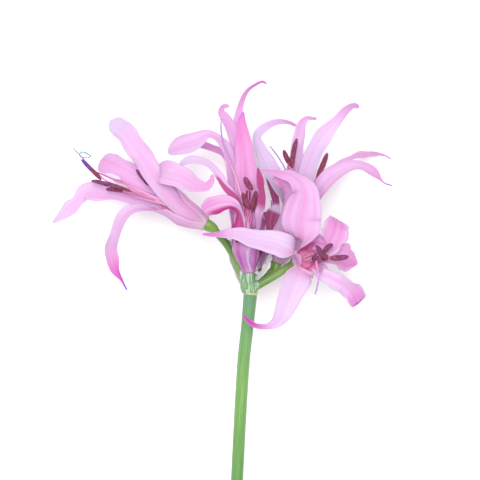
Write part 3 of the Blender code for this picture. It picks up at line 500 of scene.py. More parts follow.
def blade_faces(rows, columns):
    """Faces of a blade's inner sheet, its outer sheet and the rim between them."""
    step = columns + 1
    far = (rows + 1) * step
    faces = grid(rows, columns) + grid(rows, columns, start=far, flip=True)
    for a in range(0, rows * step, step):
        b = a + columns
        faces.append((a, a + step, a + step + far, a + far))
        faces.append((b + far, b + step + far, b + step, b))
    for a in range(columns):
        b = rows * step + a
        faces.append((a, a + far, a + 1 + far, a + 1))
        faces.append((b, b + 1, b + 1 + far, b + far))
    return faces


def blade(skin, points, facings, wave, phase, draw, thickness=TEPAL_THICKNESS, fray=0.0,
          groove=GROOVE_DEPTH, tube_axis=None, curve=END_CURVE, **values):
    """Adds a thin waved blade along a curve to a skin. In a flower's tube it bends round the axis.

    Each point has its place and then the blade's width there.
    """
    rows, columns = BLADE_ROWS, BLADE_COLUMNS
    knots = smooth_path(points, rows + 1)
    spine = knots[:, :3]
    along = tangents(spine)
    share = np.linspace(0, 1, rows + 1)
    run = distances(spine)
    looks = looks_along(share, facings, along)
    sides = np.cross(along, looks)
    half = np.maximum(knots[:, 3], LEAST_WIDTH) / 2 * end_rounding(run, points[-1][3], curve)
    bend = 2 * OPEN_HOLLOW / np.maximum(half, LEAST_BENT_HALF)
    if tube_axis is not None:
        foot, axis, closed_run = tube_axis
        reach = spine - foot
        radius = np.linalg.norm(reach - np.outer(reach @ axis, axis), axis=1)
        closed = ramp(run, closed_run[1], closed_run[0])
        half = np.maximum(half, closed * TUBE_OVERLAP * math.pi * radius / TEPAL_COUNT)
        bend = bend + (1 / radius - bend) * closed
    swell = wave * np.clip((share - WAVES_BEGIN) / WAVES_GROWN_AFTER, 0, 1)
    swell = swell * np.minimum(1, (1 - share) / WAVES_FADE)
    u = np.linspace(-1, 1, columns + 1)
    crimp = draw.uniform(*CRIMPS_A_LENGTH, 2)
    offset = draw.uniform(0, 1, 4)
    jag = draw.uniform(-1, 1, columns + 1)
    inner = np.zeros((rows + 1, columns + 1, 3))
    outer = np.zeros_like(inner)
    for column, at in enumerate(u):
        edge = 1 if at > 0 else 0
        big = np.sin(2 * math.pi * (WAVES_A_LENGTH * share + phase + MARGIN_SHIFT * edge))
        fine = np.sin(2 * math.pi * (crimp[edge] * share + offset[edge]))
        slow = np.sin(2 * math.pi * (crimp[1 - edge] * WOBBLE_PACE * share + offset[2 + edge]))
        wobble = 1 + WOBBLE * slow * swell
        turn = half * at * bend
        lift = (1 - np.cos(turn)) / bend + swell * at * at * big
        lift = lift + CRIMP_HEIGHT * swell * abs(at) ** 3 * fine
        channel = groove * math.exp(-(at / GROOVE_WIDTH) ** 2) * ramp(share, *GROOVE_FADES)
        channel = channel * np.minimum(1, half / GROOVE_FULL_HALF)
        thick = thickness * (1 - MARGIN_THINNING * at * at) / 2
        end = fray * jag[column] * ramp(share, *FRAY_RANGE)
        middle = spine + sides * (np.sin(turn) / bend * wobble)[:, None] + along * end[:, None]
        inner[:, column] = middle + looks * (lift - channel + thick)[:, None]
        outer[:, column] = middle + looks * (lift - channel - thick)[:, None]
    skin.add(np.concatenate([inner.reshape(-1, 3), outer.reshape(-1, 3)]), blade_faces(rows, columns),
             across=np.tile(np.tile(u, rows + 1), 2), along=np.tile(np.repeat(share, columns + 1), 2),
             inner=np.repeat([1.0, 0.0], u.size * share.size), seed=draw.uniform(*SEED_RANGE), **values)


def tube_plugs(skin, flower, base, axis):
    """Adds what closes a flower's tube inside."""
    radii = flower.get("funnel", FUNNEL_RADIUS)
    for step, depth, blunt, along in TUBE_PLUGS:
        across = np.interp(step, FUNNEL_STEPS, radii) - WHORL_STEP - TEPAL_THICKNESS / 2
        round_body(skin, base + axis * step, axis, (across, depth), blunt, inner=float(along > 0),
                   along=along, tone=PLUG_TONE, tube=flower["tube_tone"])


def tepals(key, flower, paint):
    """The six tepals of a flower, three outside and three inside."""
    base, axis, first, second = base_of(flower)
    skin = Skin(*TEPAL_VALUES, *TINTS, *FOLD_SHADE_TINTS, *PAINTED_SHADE_TINTS)
    tube_plugs(skin, flower, base, axis)
    closed_run = SHORT_TUBE_CLOSED if key in SHORT_TUBES else TUBE_CLOSED
    radii = flower.get("funnel", FUNNEL_RADIUS)
    leaves, lies_open = flower.get("spreads", SPREADS)
    foot_step, foot_radius, foot_width = TUBE_FOOT
    order = sorted(plan[0] for plan in flower["tepals"])
    for number, (angle, wave, tints, looks, points) in enumerate(flower["tepals"], 1):
        outward = turned(first, second, math.radians(angle))
        whorl = WHORL_STEP if order.index(angle) % 2 else -WHORL_STEP
        roots = [(*(base + axis * foot_step + outward * foot_radius), foot_width)]
        roots += [(*(base + axis * step + outward * (radius + whorl)), width)
                  for step, radius, width in zip(FUNNEL_STEPS, radii, FUNNEL_WIDTH)]
        facings = [(0, -outward), (leaves, -outward)]
        shares = np.linspace(lies_open, 1, len(looks))
        facings += [(share, unit(look)) for share, look in zip(shares, looks)]
        own = (key, number)
        values = dict(zip(TINTS, tints))
        values.update(zip(FOLD_SHADE_TINTS, PAINTED_FOLD_SHADE.get(own, NO_FOLD_SHADE)))
        values.update(zip(PAINTED_SHADE_TINTS, PAINTED_SHADE_PARTS.get(own, NO_PAINTED_SHADE)))
        draw = np.random.default_rng(angle + 1000 * len(key))
        phase = WAVE_STEP * angle / 360 + list(FLOWERS).index(key) / len(FLOWERS)
        curve = BLUNT_CURVE if number in flower.get("blunt", ()) else END_CURVE
        blade(skin, roots + points, facings, wave, phase, draw, fray=FRAYED_ENDS.get(own, 0.0),
              tube_axis=(base, axis, closed_run), curve=curve, tube=flower["tube_tone"],
              violet=VIOLET_ENDS.get(own, 0.0), **values)
    return skin.piece(key + "_tepals", [paint], "perianth_" + key)


# A thread's ends are rounded over this share of its length, down to the root of this share of its
# radius.
THREAD_ROUNDING = 0.03
LEAST_THREAD = 0.15
# How far up from a flower's base the small disc stands that bears the stamens and the style, and
# its radii from below to above.
DISC_STEP = 7.2
DISC_RADII = (2.0, 2.1, 1.4)
THROAT_RUN = 9.0
FILAMENT_RADIUS = (0.5, 0.32)
# How far from the axis a filament stands on the disc and leaves the throat, the angle of the first
# one, and how far back from its anther it is straight.
FILAMENT_SPREAD = (1.3, 1.4)
FIRST_FILAMENT = 20
FILAMENT_STRAIGHT = 0.4
STYLE_RADIUS = (0.5, 0.34)
# How far up from the disc a style is straight.
STYLE_STRAIGHT = 8
ANTHER_RADIUS = 1.3
ANTHER_SIZES = (0.86, 1.04)
ANTHER_BEND = 0.4
ANTHER_GRAIN = 0.035
FURROW_WIDTH = 0.42
FURROW_DEPTH = 0.34
LOBE_FLATTENING = 0.12
# How violet and how pale the anthers of these flowers are, one by one where they have a number.
VIOLET_ANTHERS = {("left", 0): 1.0, "left": 0.25, "lower_right": 0.25}
PALE_ANTHERS = {("left", 5): 1.0}

# A stigma's branches: the angle of each, and its way as steps along the style and out from it.
STIGMA_REACH = 0.5
STIGMA_RADIUS = (0.408, 0.272)
STIGMA_TURNS = (0.4, 2.5, 4.6)
STIGMA_WAY = ((0.5, 0.3), (0.7, 0.75))
# The three branches of the left flower's stigma, long and thin, and thinner toward their ends.
LEFT_STIGMA = [
    [(-76.4, 62.0, 8), (-77.4, 63.0, 8.4), (-79.2, 64.9, 8.6)],
    [(-76.4, 62.0, 8), (-75.2, 63.1, 8.6), (-73.4, 62.6, 8.8), (-70.8, 61.0, 8.4)],
    [(-76.4, 62.0, 8), (-75.4, 60.9, 7.6), (-73.2, 60.6, 7.4), (-71.2, 61.1, 7.8)],
]


def thread(skin, points, radii, paint, count=24, sides=8, **values):
    """Adds a thin round strand with rounded ends along a curve."""
    path = smooth_path(points, count)
    share = np.linspace(0, 1, count)
    sizes = np.interp(share, np.linspace(0, 1, len(radii)), radii)
    ends = np.sqrt(np.clip(np.minimum(share, 1 - share) / THREAD_ROUNDING, LEAST_THREAD, 1))
    placed, faces = rings(path, sizes * ends, sides)
    skin.add(placed, faces, paint, along=np.repeat(share, sides), **values)


def two_lobes(turns):
    """The cross-section of an anther: two pollen sacs with a furrow along each side."""
    furrows = sum(np.exp(-(((turns - at + math.pi) % (2 * math.pi) - math.pi) / FURROW_WIDTH) ** 2)
                  for at in (math.pi / 2, 3 * math.pi / 2))
    return (1 - FURROW_DEPTH * furrows) * (1 - LOBE_FLATTENING * np.sin(turns) ** 2)


def anther(skin, lower, upper, size, draw, paint, **values):
    """Adds an anther, a slightly bowed pair of pollen sacs with blunt ends."""
    count, sides = 22, 20
    share = np.linspace(0, 1, count)
    _, first, second = cross_directions(upper - lower)
    bow = first * math.cos(draw.uniform(0, 6)) + second * math.sin(draw.uniform(0, 6))
    path = lower + np.outer(share, upper - lower) + np.outer(np.sin(math.pi * share), bow) * ANTHER_BEND
    blunt_ends = np.maximum(0.1, 1 - np.abs(2 * share - 1) ** 3.0) ** 0.5
    radii = ANTHER_RADIUS * size * draw.uniform(*ANTHER_SIZES) * blunt_ends
    placed, faces = rings(path, radii, sides, two_lobes, start=second)
    placed = placed + draw.normal(0, ANTHER_GRAIN, placed.shape)
    skin.add(placed, faces, paint, along=np.repeat(share, sides), seed=draw.uniform(*SEED_RANGE),
             **values)


def stigma_branches(end, way):
    """The short branches at the end of a style."""
    axis, first, second = cross_directions(way)
    outwards = [turned(first, second, turn) for turn in STIGMA_TURNS]
    return [[end, *[end + (axis * up + outward * out) * STIGMA_REACH for up, out in STIGMA_WAY]]
            for outward in outwards]


def stamens(key, flower, paints):
    """Six filaments with their anthers, and the style with its stigma, from the disc in the throat."""
    filament_kind, anther_kind, style_kind, stigma_kind = range(4)
    skin = Skin("along", "seed", "violet", "pale")
    draw = np.random.default_rng(7 + len(key))
    base, axis, first, second = base_of(flower)
    disc = base + axis * DISC_STEP
    thread(skin, [disc - axis, disc, disc + axis], DISC_RADII, filament_kind, count=6, sides=12)
    for number, ends in enumerate(flower["anthers"]):
        lower, upper = np.array(ends)
        angle = 360 / len(flower["anthers"]) * number + FIRST_FILAMENT
        outward = turned(first, second, math.radians(angle))
        middle = (lower + upper) / 2
        root = disc + outward * FILAMENT_SPREAD[0]
        leave = disc + axis * THROAT_RUN + outward * FILAMENT_SPREAD[1]
        arrive = middle - (middle - leave) * FILAMENT_STRAIGHT
        thread(skin, [root, leave, arrive, middle], FILAMENT_RADIUS, filament_kind, count=40)
        violet = VIOLET_ANTHERS.get((key, number), VIOLET_ANTHERS.get(key, 0.0))
        anther(skin, lower, upper, flower.get("anther_size", 1.0), draw, anther_kind, violet=violet,
               pale=PALE_ANTHERS.get((key, number), 0.0))
    way = [disc, disc + axis * STYLE_STRAIGHT, *[np.array(p) for p in flower["style"]]]
    thread(skin, way, STYLE_RADIUS, style_kind, count=48)
    is_left = key == "left"
    for points in LEFT_STIGMA if is_left else stigma_branches(way[-1], way[-1] - way[-2]):
        thread(skin, points, STIGMA_RADIUS, stigma_kind if is_left else style_kind, count=14, sides=6)
    return skin.piece(key + "_stamens", paints, "stamens_" + key)


STALK_SIDES = 44
STALK_STEP = 1.5
# Each set of ribs round the scape: how many, how deep and how far turned.
STALK_RIBS = ((11, 0.010, 0.4), (17, 0.007, 1.9), (5, 0.012, 2.6))
# Rings stand closer where the scape joins the umbel, for the band of the joint: so many as far as
# the way's next point, of which so many are kept.
JOINT_RINGS = 120
JOINT_RINGS_KEPT = 40
RING_GAP = 0.3
JOINT_BAND = 0.55
JOINT_PROUD = 0.28
STEM_VALUES = ("down", "turn_x", "turn_y", "ovary", "base", "band", "cut")


def ribbed(turns):
    """The scape's cross-section: round with a few faint ribs."""
    return 1 + sum(depth * np.cos(count * turns + shift) for count, depth, shift in STALK_RIBS)


def stalk(paint):
    """The scape from inside the umbel's base down to its cut end, with the tan band of the joint."""
    whole = smooth_path([SCAPE_START, *SCAPE_PATH], int(SCAPE_RUNS[-1] / STALK_STEP))
    near_ring = smooth_path([SCAPE_START, *SCAPE_PATH[:2]], JOINT_RINGS)[:JOINT_RINGS_KEPT]
    path = np.concatenate([near_ring, whole[whole[:, 1] < near_ring[-1, 1] - RING_GAP]])
    end_way = unit(path[-1] - path[-2])
    path = np.concatenate([path, [path[-1] + end_way * step for step, _ in CUT_ROUNDING]])
    below = distances(path) - SCAPE_START_RUN
    band = np.exp(-(below / JOINT_BAND) ** 2)
    radii = np.interp(below, [-SCAPE_START_RUN, *SCAPE_RUNS], [SCAPE_START_RADIUS, *SCAPE_RADIUS])
    radii = radii + JOINT_PROUD * band
    radii[-len(CUT_ROUNDING):] *= [share for _, share in CUT_ROUNDING]
    placed, faces = rings(path, radii, STALK_SIDES, ribbed)
    turns = np.tile(np.arange(STALK_SIDES) * 2 * math.pi / STALK_SIDES, len(path))
    cut = (np.arange(len(path)) >= len(path) - len(CUT_ROUNDING)).astype(float)
    skin = Skin(*STEM_VALUES)
    skin.add(placed, faces, down=np.repeat(below, STALK_SIDES), turn_x=np.cos(turns),
             turn_y=np.sin(turns), band=np.repeat(band, STALK_SIDES), cut=np.repeat(cut, STALK_SIDES))
    return skin.piece("scape_stalk", [paint], "scape")


UMBEL_BASE = (-0.4, 4.2, 0.0)
UMBEL_RADII = (4.15, 4.9)
UMBEL_LINE = [(0.1, -1.5, 0), UMBEL_BASE, (-0.5, 8.5, 0.2)]
UMBEL_BLUNTNESS = 0.4
UMBEL_FLUTES = (7, 0.06)
# The umbel's base reaches up to here.
UMBEL_TOP = 10.4
# A pedicel's radii at its foot, its middle and its end.
PEDICEL_RADII = (1.955, 1.7, 1.87)
OVARY_BLUNTNESS = 0.5
OVARY_LOBES = (3, 0.08)
OVARY_TAPER = 0.35
HEAD_VOXEL = 0.3
HEAD_EASING = 7


def round_body(skin, centre, axis, radii, blunt=1.0, lobes=(1, 0.0), taper=0.0, **values):
    """Adds a closed rounded body, its radii across and along its axis, fuller at its end if tapered.

    Its lobes round the axis have a count and a depth.
    """
    across, length = radii
    count, depth = lobes
    height = np.sin(np.linspace(-1, 1, 25) * math.pi / 2)
    profile = np.maximum(0.04, 1 - height ** 2) ** (blunt / 2) * (1 - taper * (1 - height) / 2)
    way = np.array(centre) + np.outer(height, unit(axis)) * length
    placed, faces = rings(way, across * profile, 32, lambda turns: 1 + depth * np.cos(count * turns))
    skin.add(placed, faces, **values)


def stem_lines():
    """Each part of the stem's head as a named line with its radius, for its own grain and colour."""
    lines = [("base", smooth_path(UMBEL_LINE, 30), UMBEL_RADII[0])]
    for flower in FLOWERS.values():
        ovary = np.array(flower["ovary"])
        through = np.outer(np.linspace(-1, 1, 20), unit(flower["axis"])) * OVARY_LENGTH / 2
        lines.append(("pedicel", smooth_path([*flower["pedicel"], ovary], 60), PEDICEL_RADII[1]))
        lines.append(("ovary", ovary + through, OVARY_RADIUS))
    return lines


def stem_head(paint):
    """The umbel's base, the pedicels and the ovaries, grown together without a seam."""
    skin = Skin()
    round_body(skin, UMBEL_BASE, (0, 1, 0), UMBEL_RADII, UMBEL_BLUNTNESS, UMBEL_FLUTES)
    for flower in FLOWERS.values():
        thread(skin, [*flower["pedicel"], flower["ovary"]], PEDICEL_RADII, 0, count=30, sides=16)
        round_body(skin, flower["ovary"], flower["axis"], (OVARY_RADIUS, OVARY_LENGTH / 2 + OVARY_GAP),
                   OVARY_BLUNTNESS, OVARY_LOBES, OVARY_TAPER)
    rough = skin.piece("stem_head_rough", [paint], "scape")
    remesh = rough.modifiers.new("grow", "REMESH")
    remesh.mode = "VOXEL"
    remesh.voxel_size = HEAD_VOXEL * MM
    ease = rough.modifiers.new("ease", "SMOOTH")
    ease.factor = 0.5
    ease.iterations = HEAD_EASING
    graph = bpy.context.evaluated_depsgraph_get()
    mesh = bpy.data.meshes.new_from_object(rough.evaluated_get(graph))
    bpy.data.objects.remove(rough)
    hold(mesh, head_values(np.array([vert.co for vert in mesh.vertices]) / MM - RING_PLACE))
    mesh.name = "stem_head"
    return dress(bpy.data.objects.new("stem_head", mesh), "scape")


def head_values(points):
    """For each point of the stem's head: how far along its part, the turn round it, and its kind."""
    best = np.full(len(points), np.inf)
    held = {name: np.zeros(len(points)) for name in STEM_VALUES}
    for kind, line, radius in stem_lines():
        gaps = np.linalg.norm(points[:, None] - line[None], axis=2)
        nearest = gaps.argmin(axis=1)
        reach = gaps[np.arange(len(points)), nearest] / radius
        mine = reach < best
        best[mine] = reach[mine]
        _, first, second = cross_directions(tangents(line)[len(line) // 2])
        away = points - line[nearest]
        turn = np.arctan2(away @ second, away @ first)
        held["down"][mine] = -distances(line)[nearest][mine]
        held["turn_x"][mine] = np.cos(turn)[mine]
        held["turn_y"][mine] = np.sin(turn)[mine]
        held["ovary"][mine] = float(kind == "ovary")
        held["base"][mine] = float(kind == "base")
    near_base = (points[:, 1] < UMBEL_TOP) & (np.abs(points[:, 0] - UMBEL_BASE[0]) < UMBEL_RADII[0])
    held["base"][near_base] = 1.0
    held["ovary"][near_base] = 0.0
    return held


BRACT_THICKNESS = 0.22
BRACT_FRAY = 0.8
BRACT_WAVE = 0.5
BRACT_PHASE = 0.1
FIBRE_COUNT = 3
FIBRE_RADIUS = (0.25, 0.1)
FIBRE_START_SPREAD = 1
FIBRE_SPREAD = 1.2


def bract(key, plan, paint):
    """A papery bract with a torn, crinkled margin and a few loose fibres along it."""
    at_foot, at_tip, points = plan
    skin = Skin("across", "along", "inner", "seed")
    draw = np.random.default_rng(31 + len(key))
    blade(skin, points, [(0, unit(at_foot)), (1, unit(at_tip))], BRACT_WAVE, BRACT_PHASE, draw,
          thickness=BRACT_THICKNESS, fray=BRACT_FRAY, groove=0.0)
    way = np.array(points)[:, :3]
    for _ in range(FIBRE_COUNT):
        start = way[0] + draw.uniform(-FIBRE_START_SPREAD, FIBRE_START_SPREAD, 3)
        steps = [start + at - way[0] + draw.uniform(-FIBRE_SPREAD, FIBRE_SPREAD, 3) for at in way[1:4]]
        thread(skin, [start, *steps], FIBRE_RADIUS, 0, count=20, sides=6)
    return skin.piece(key + "_bract", [paint], "bract_" + key)


def srgb(red, green, blue):
    """A screen colour, 0 to 255, as the linear one that shaders take."""
    shares = [value / 255 for value in (red, green, blue)]
    return (*[s / 12.92 if s <= 0.04045 else ((s + 0.055) / 1.055) ** 2.4 for s in shares], 1.0)


class Value:
    """A number that a material works out at each point. It can stand in a sum."""

    def __init__(self, paint, socket):
        self.paint = paint
        self.socket = socket

    def __add__(self, other):
        return self.paint.math("ADD", self, other)

    def __sub__(self, other):
        return self.paint.math("SUBTRACT", self, other)

    def __rsub__(self, other):
        return self.paint.math("SUBTRACT", other, self)

    def __mul__(self, other):
        return self.paint.math("MULTIPLY", self, other)

    def __truediv__(self, other):
        return self.paint.math("DIVIDE", self, other)

    def __abs__(self):
        return self.paint.math("ABSOLUTE", self, 0.0)

    def rise(self, low, high):
        """0 at low and 1 at high, with a smooth rise between them. Low may be the larger one."""
        ends = (low, high, 0.0, 1.0) if low < high else (high, low, 1.0, 0.0)
        made = self.paint.node("MapRange", 0, self, *ends, interpolation_type="SMOOTHSTEP")
        return Value(self.paint, made)


class Paint:
    """A node material under construction, with short ways to add its nodes."""

    def __init__(self, name):
        self.material = bpy.data.materials.new(name)
        self.material.use_nodes = True
        self.tree = self.material.node_tree
        self.shader = self.tree.nodes["Principled BSDF"]

    def feed(self, socket, value):
        """Gives a socket a number, a screen colour or what another node works out."""
        value = value.socket if isinstance(value, Value) else value
        if isinstance(value, bpy.types.NodeSocket):
            self.tree.links.new(value, socket)
        else:
            socket.default_value = srgb(*value) if isinstance(value, tuple) else value

    def node(self, kind, output, *fed, sockets=None, **settings):
        """Adds a node that is fed to its first sockets or the named ones, and gives an output of it."""
        made = self.tree.nodes.new("ShaderNode" + kind)
        for name, value in settings.items():
            setattr(made, name, value)
        for socket, value in zip(sockets or range(len(fed)), fed):
            self.feed(made.inputs[socket], value)
        return made.outputs[output]

    def held(self, *names):
        """The values of these names that the mesh holds at each point."""
        return [Value(self, self.node("Attribute", "Fac", attribute_name=name)) for name in names]

    def math(self, operation, first, second):
        return Value(self, self.node("Math", 0, first, second, operation=operation))

    def mix(self, share, first, second):
        """The first colour, turned into the second one by a share."""
        return self.node("Mix", 2, share, first, second, sockets=(0, 6, 7), data_type="RGBA",
                         clamp_factor=True)

    def layers(self, colour, *over):
        """A colour with others laid over it in turn, each given after its share."""
        for share, other in over:
            colour = self.mix(share, colour, other)
        return colour

    def stops(self, value, *stops):
        """A colour ramp through the given (place, colour) stops."""
        made = self.tree.nodes.new("ShaderNodeValToRGB")
        elements = made.color_ramp.elements
        while len(elements) < len(stops):
            elements.new(1.0)
        for element, (at, colour) in zip(elements, stops):
            element.position = at
            element.color = srgb(*colour)
        self.feed(made.inputs[0], value)
        return made.outputs[0]

    def noise(self, place, scale, detail):
        fed = ("Vector", "Scale", "Detail")
        return Value(self, self.node("TexNoise", "Fac", place, scale, detail, sockets=fed))

    def grain(self, scale, detail=2.0):
        """Noise in the piece's own space, so many to a metre."""
        return self.noise(self.node("TexCoord", "Object"), scale, detail)

    def fibres(self, *place, detail=2.0):
        """Noise at a place given by three values."""
        return self.noise(self.node("CombineXYZ", 0, *place), 1.0, detail)

    def cells(self, scale):
        """Round cells in the piece's own space, so many to a metre."""
        place = self.node("TexCoord", "Object")
        return self.node("TexVoronoi", "Distance", place, scale, sockets=("Vector", "Scale"))

    def bump(self, height, depth_mm, strength):
        fed = ("Height", "Distance", "Strength")
        normal = self.node("Bump", "Normal", height, depth_mm * MM, strength, sockets=fed)
        self.feed(self.shader.inputs["Normal"], normal)
        return normal

    def finish(self, colour, roughness, glow=0.0, normal=None):
        """Sets the colour and roughness, and lets a share of the light pass through a thin piece."""
        self.feed(self.shader.inputs["Base Color"], colour)
        self.feed(self.shader.inputs["Roughness"], roughness)
        if glow:
            fed = (colour, normal) if normal else (colour,)
            through = self.node("BsdfTranslucent", 0, *fed, sockets=("Color", "Normal"))
            both = self.node("MixShader", 0, glow, self.shader.outputs[0], through)
            self.feed(self.tree.nodes["Material Output"].inputs["Surface"], both)
        return self.material


LILAC_WHITE = (222, 203, 230)
PINK = (223, 146, 205)
MAGENTA = (190, 46, 134)
FUCHSIA = (216, 70, 196)
VIOLET = (140, 90, 235)
SHADE_MAROON = (132, 36, 64)
MAUVE = (200, 136, 204)
MAUVE_LINE = (182, 84, 160)
CREAM = (228, 202, 210)
CORAL = (255, 150, 205)

# Where the markings of a tepal begin and where they are full, as shares of its length.
TIP_DEEPENS = (0.6, 1.0)
TIP_FLUSHES = (0.74, 0.96)
TIP_PALES = (0.86, 0.92)
TIP_TURNS_VIOLET = (0.92, 0.99)
LIP_BEGINS, LIP_ENDS = (0.26, 0.4), (1.02, 0.88)
TUBE_DEEPENS = (0.35, 0.1)
TUBE_STRIPED = (0.42, 0.16)
THROAT_BEGINS, THROAT_ENDS = (0.36, 0.14), (0.04, 0.12)
FOOT_PALES = (0.1, 0.0)
# The same as shares of its half width.
RIB_LINE = (0.26, 0.0)
PALE_MARGIN = (0.62, 1.0)
LIP_MARGIN = (0.25, 0.7)
# Soft limits of the painted shade of folds and of the pale band amid maroon painted shade, as shares
# of the length, and of the wedge across it.
FOLD_SHADE_STARTS, FOLD_SHADE_STOPS = (-0.04, 0.06), (-0.02, 0.03)
LIT_LIMIT = (-0.02, 0.02)
WEDGE_LIMIT = (-0.1, 0.15)


def petal_paint():
    """Tepals: pale lilac to pink with fine veins, a line along the middle, deeper tips and painted shade.
    """
    paint = Paint("tepal")
    across, along, inner, seed, tube, violet = paint.held(*TEPAL_VALUES)
    tone, rib, tip, edge, lip = paint.held(*TINTS)
    deep_from, deep_to, wedge = paint.held(*FOLD_SHADE_TINTS)
    shaded, lit_from, lit_to = paint.held(*PAINTED_SHADE_TINTS)
    margin = abs(across)
    streaks = paint.fibres(across * 3.2, along * 1.3, seed, detail=3.0)
    veins = paint.fibres(across * 15.0, along * 1.8, seed)
    cells = paint.grain(2600.0, 1.0)

    line = rib * margin.rise(*RIB_LINE) * along.rise(1.0, 0.3)
    tone = tone + (streaks - 0.5) * 1.15 + (veins - 0.5) * 0.5 + line * 0.35
    tone = tone + along.rise(*TUBE_DEEPENS) * tube * 0.3 + along.rise(*TIP_DEEPENS) * tip * 0.35
    # Painted shade of folds, in deep magenta, tapered to a wedge on some tepals.
    past = along - deep_from
    wedge_margin = 1.7 - past / (deep_to - deep_from) * wedge * 2.0
    deep = past.rise(*FOLD_SHADE_STARTS) * (deep_to - along).rise(*FOLD_SHADE_STOPS)
    striped = paint.stops(margin + (veins - 0.5) * 0.5, (0.0, MAUVE_LINE), (0.3, MAUVE), (0.7, MAUVE),
                          (0.9, LILAC_WHITE))
    throat = inner * along.rise(*THROAT_BEGINS) * along.rise(*THROAT_ENDS)
    lit = (along - lit_from).rise(*LIT_LIMIT) * (lit_to - along).rise(*LIT_LIMIT)
    colour = paint.layers(
        paint.stops(tone * 0.5, (0.0, LILAC_WHITE), (0.5, PINK), (1.0, MAGENTA)),
        (along.rise(*TIP_FLUSHES) * tip * (streaks + 0.1) * 0.7, FUCHSIA),
        (margin.rise(*PALE_MARGIN) * edge * along.rise(0.1, 0.3), LILAC_WHITE),
        # magenta margin, partly the tepal's own colour and partly painted shade where it folds
        ((across * lip).rise(*LIP_MARGIN) * along.rise(*LIP_BEGINS) * along.rise(*LIP_ENDS), MAGENTA),
        # painted shade of folds, in deep magenta
        (deep * (wedge_margin - across).rise(*WEDGE_LIMIT) * (1.0 - veins * 0.3), MAGENTA),
        (along.rise(*TIP_PALES) * tip.rise(0.0, -1.0), LILAC_WHITE),
        (tube * along.rise(*TUBE_STRIPED) * (1.0 - inner), striped),
        (throat * 0.88, paint.mix(tube, CORAL, MAGENTA)),
        (along.rise(*FOOT_PALES) * (0.8 - tube * 0.6), CREAM),
        (along.rise(*TIP_TURNS_VIOLET) * violet, VIOLET),
        # A pale lilac band, then maroon painted shade over the rest of those tepals.
        (lit, LILAC_WHITE),
        (shaded * (1.0 - lit) * (streaks + 0.4), SHADE_MAROON))
    normal = paint.bump(veins * 0.8 + cells * 0.25, 0.25, 0.5)
    paint.shader.inputs["Specular IOR Level"].default_value = 0.35
    paint.shader.inputs["Sheen Weight"].default_value = 0.15
    return paint.finish(colour, streaks * 0.2 + 0.42, glow=0.4, normal=normal)


def filament_paint():
    """Filaments: pale pink, whiter toward the throat."""
    paint = Paint("filament")
    (along,) = paint.held("along")
    colour = paint.stops(along + paint.grain(900.0) * 0.2, (0.1, (250, 225, 232)), (0.6, (236, 160, 205)),
                         (1.0, (190, 90, 150)))
    return paint.finish(colour, 0.4, glow=0.25)


def anther_paint():
    """Anthers: grainy maroon pollen sacs, some with a violet bloom."""
    paint = Paint("anther")
    along, violet, pale = paint.held("along", "violet", "pale")
    grain = paint.grain(3200.0, 3.0)
    shade = grain * 0.6 + paint.grain(500.0) * 0.5
    colour = paint.layers(
        paint.stops(shade, (0.3, (70, 18, 40)), (0.55, (112, 38, 70)), (0.8, (156, 82, 116))),
        (violet * along.rise(0.3, 0.9), (84, 48, 140)),
        (pale, (206, 190, 236)))
    paint.bump(grain, 0.25, 0.8)
    return paint.finish(colour, 0.8)


def style_paint():
    """Style: pink at the throat and violet toward its end."""
    paint = Paint("style")
    (along,) = paint.held("along")
    colour = paint.stops(along, (0.0, (240, 196, 220)), (0.6, (214, 132, 186)), (0.82, (168, 112, 196)),
                         (1.0, (120, 84, 176)))
    return paint.finish(paint.mix(paint.grain(1500.0) * 0.3, colour, (250, 220, 240)), 0.4, glow=0.2)


def stigma_paint():
    """Stigma: greyish teal, paler in places."""
    paint = Paint("stigma")
    colour = paint.stops(paint.grain(900.0), (0.35, (70, 104, 124)), (0.65, (150, 196, 204)))
    return paint.finish(colour, 0.5)


def stem_paint():
    """Stem: waxy green with fine lengthwise fibres, bluer at the top of the scape."""
    paint = Paint("stem")
    down, turn_x, turn_y, ovary, base, band, cut = paint.held(*STEM_VALUES)
    fibre = paint.fibres(turn_x * 6.0, turn_y * 6.0, down * 0.03, detail=3.0)
    thin = paint.fibres(turn_x * 22.0, turn_y * 22.0, down * 0.05)
    mottle = paint.grain(90.0, 3.0)
    scape = paint.stops(down / 300.0, (0.0, (69, 118, 88)), (0.06, (86, 134, 77)), (0.14, (98, 144, 68)),
                        (0.28, (74, 124, 52)), (1.0, (98, 134, 72)))
    collar = paint.stops(fibre, (0.44, (84, 126, 66)), (0.54, (110, 148, 110)), (0.62, (190, 204, 202)))
    colour = paint.layers(
        paint.stops(mottle, (0.3, (76, 115, 32)), (0.7, (104, 134, 62))),
        (down.rise(-0.2, 0.2), scape),
        (ovary, paint.stops(mottle, (0.3, (84, 122, 32)), (0.7, (108, 141, 53)))),
        (base, collar),
        (thin.rise(0.45, 0.7) * 0.35, (170, 206, 140)),
        (band, (184, 176, 112)),
        (cut, paint.stops(paint.cells(1500.0), (0.12, (140, 160, 80)), (0.3, (214, 220, 170)))))
    paint.bump(fibre + thin * 0.5, 0.25, 0.5)
    paint.shader.inputs["Sheen Weight"].default_value = 0.12
    paint.shader.inputs["Sheen Roughness"].default_value = 0.35
    paint.shader.inputs["Sheen Tint"].default_value = srgb(190, 225, 245)
    return paint.finish(colour, mottle * 0.2 + 0.34)


def paper_paint():
    """Bracts: dry, pale and see-through, with fine brown fibres."""
    paint = Paint("papery_bract")
    across, along, seed = paint.held("across", "along", "seed")
    fibre = paint.fibres(across * 9.0, along * 1.2, seed, detail=3.0)
    colour = paint.stops(fibre, (0.3, (168, 174, 140)), (0.45, (204, 204, 204)), (0.8, (232, 230, 236)))
    return paint.finish(colour, 0.6, glow=0.3, normal=paint.bump(fibre, 0.3, 0.6))


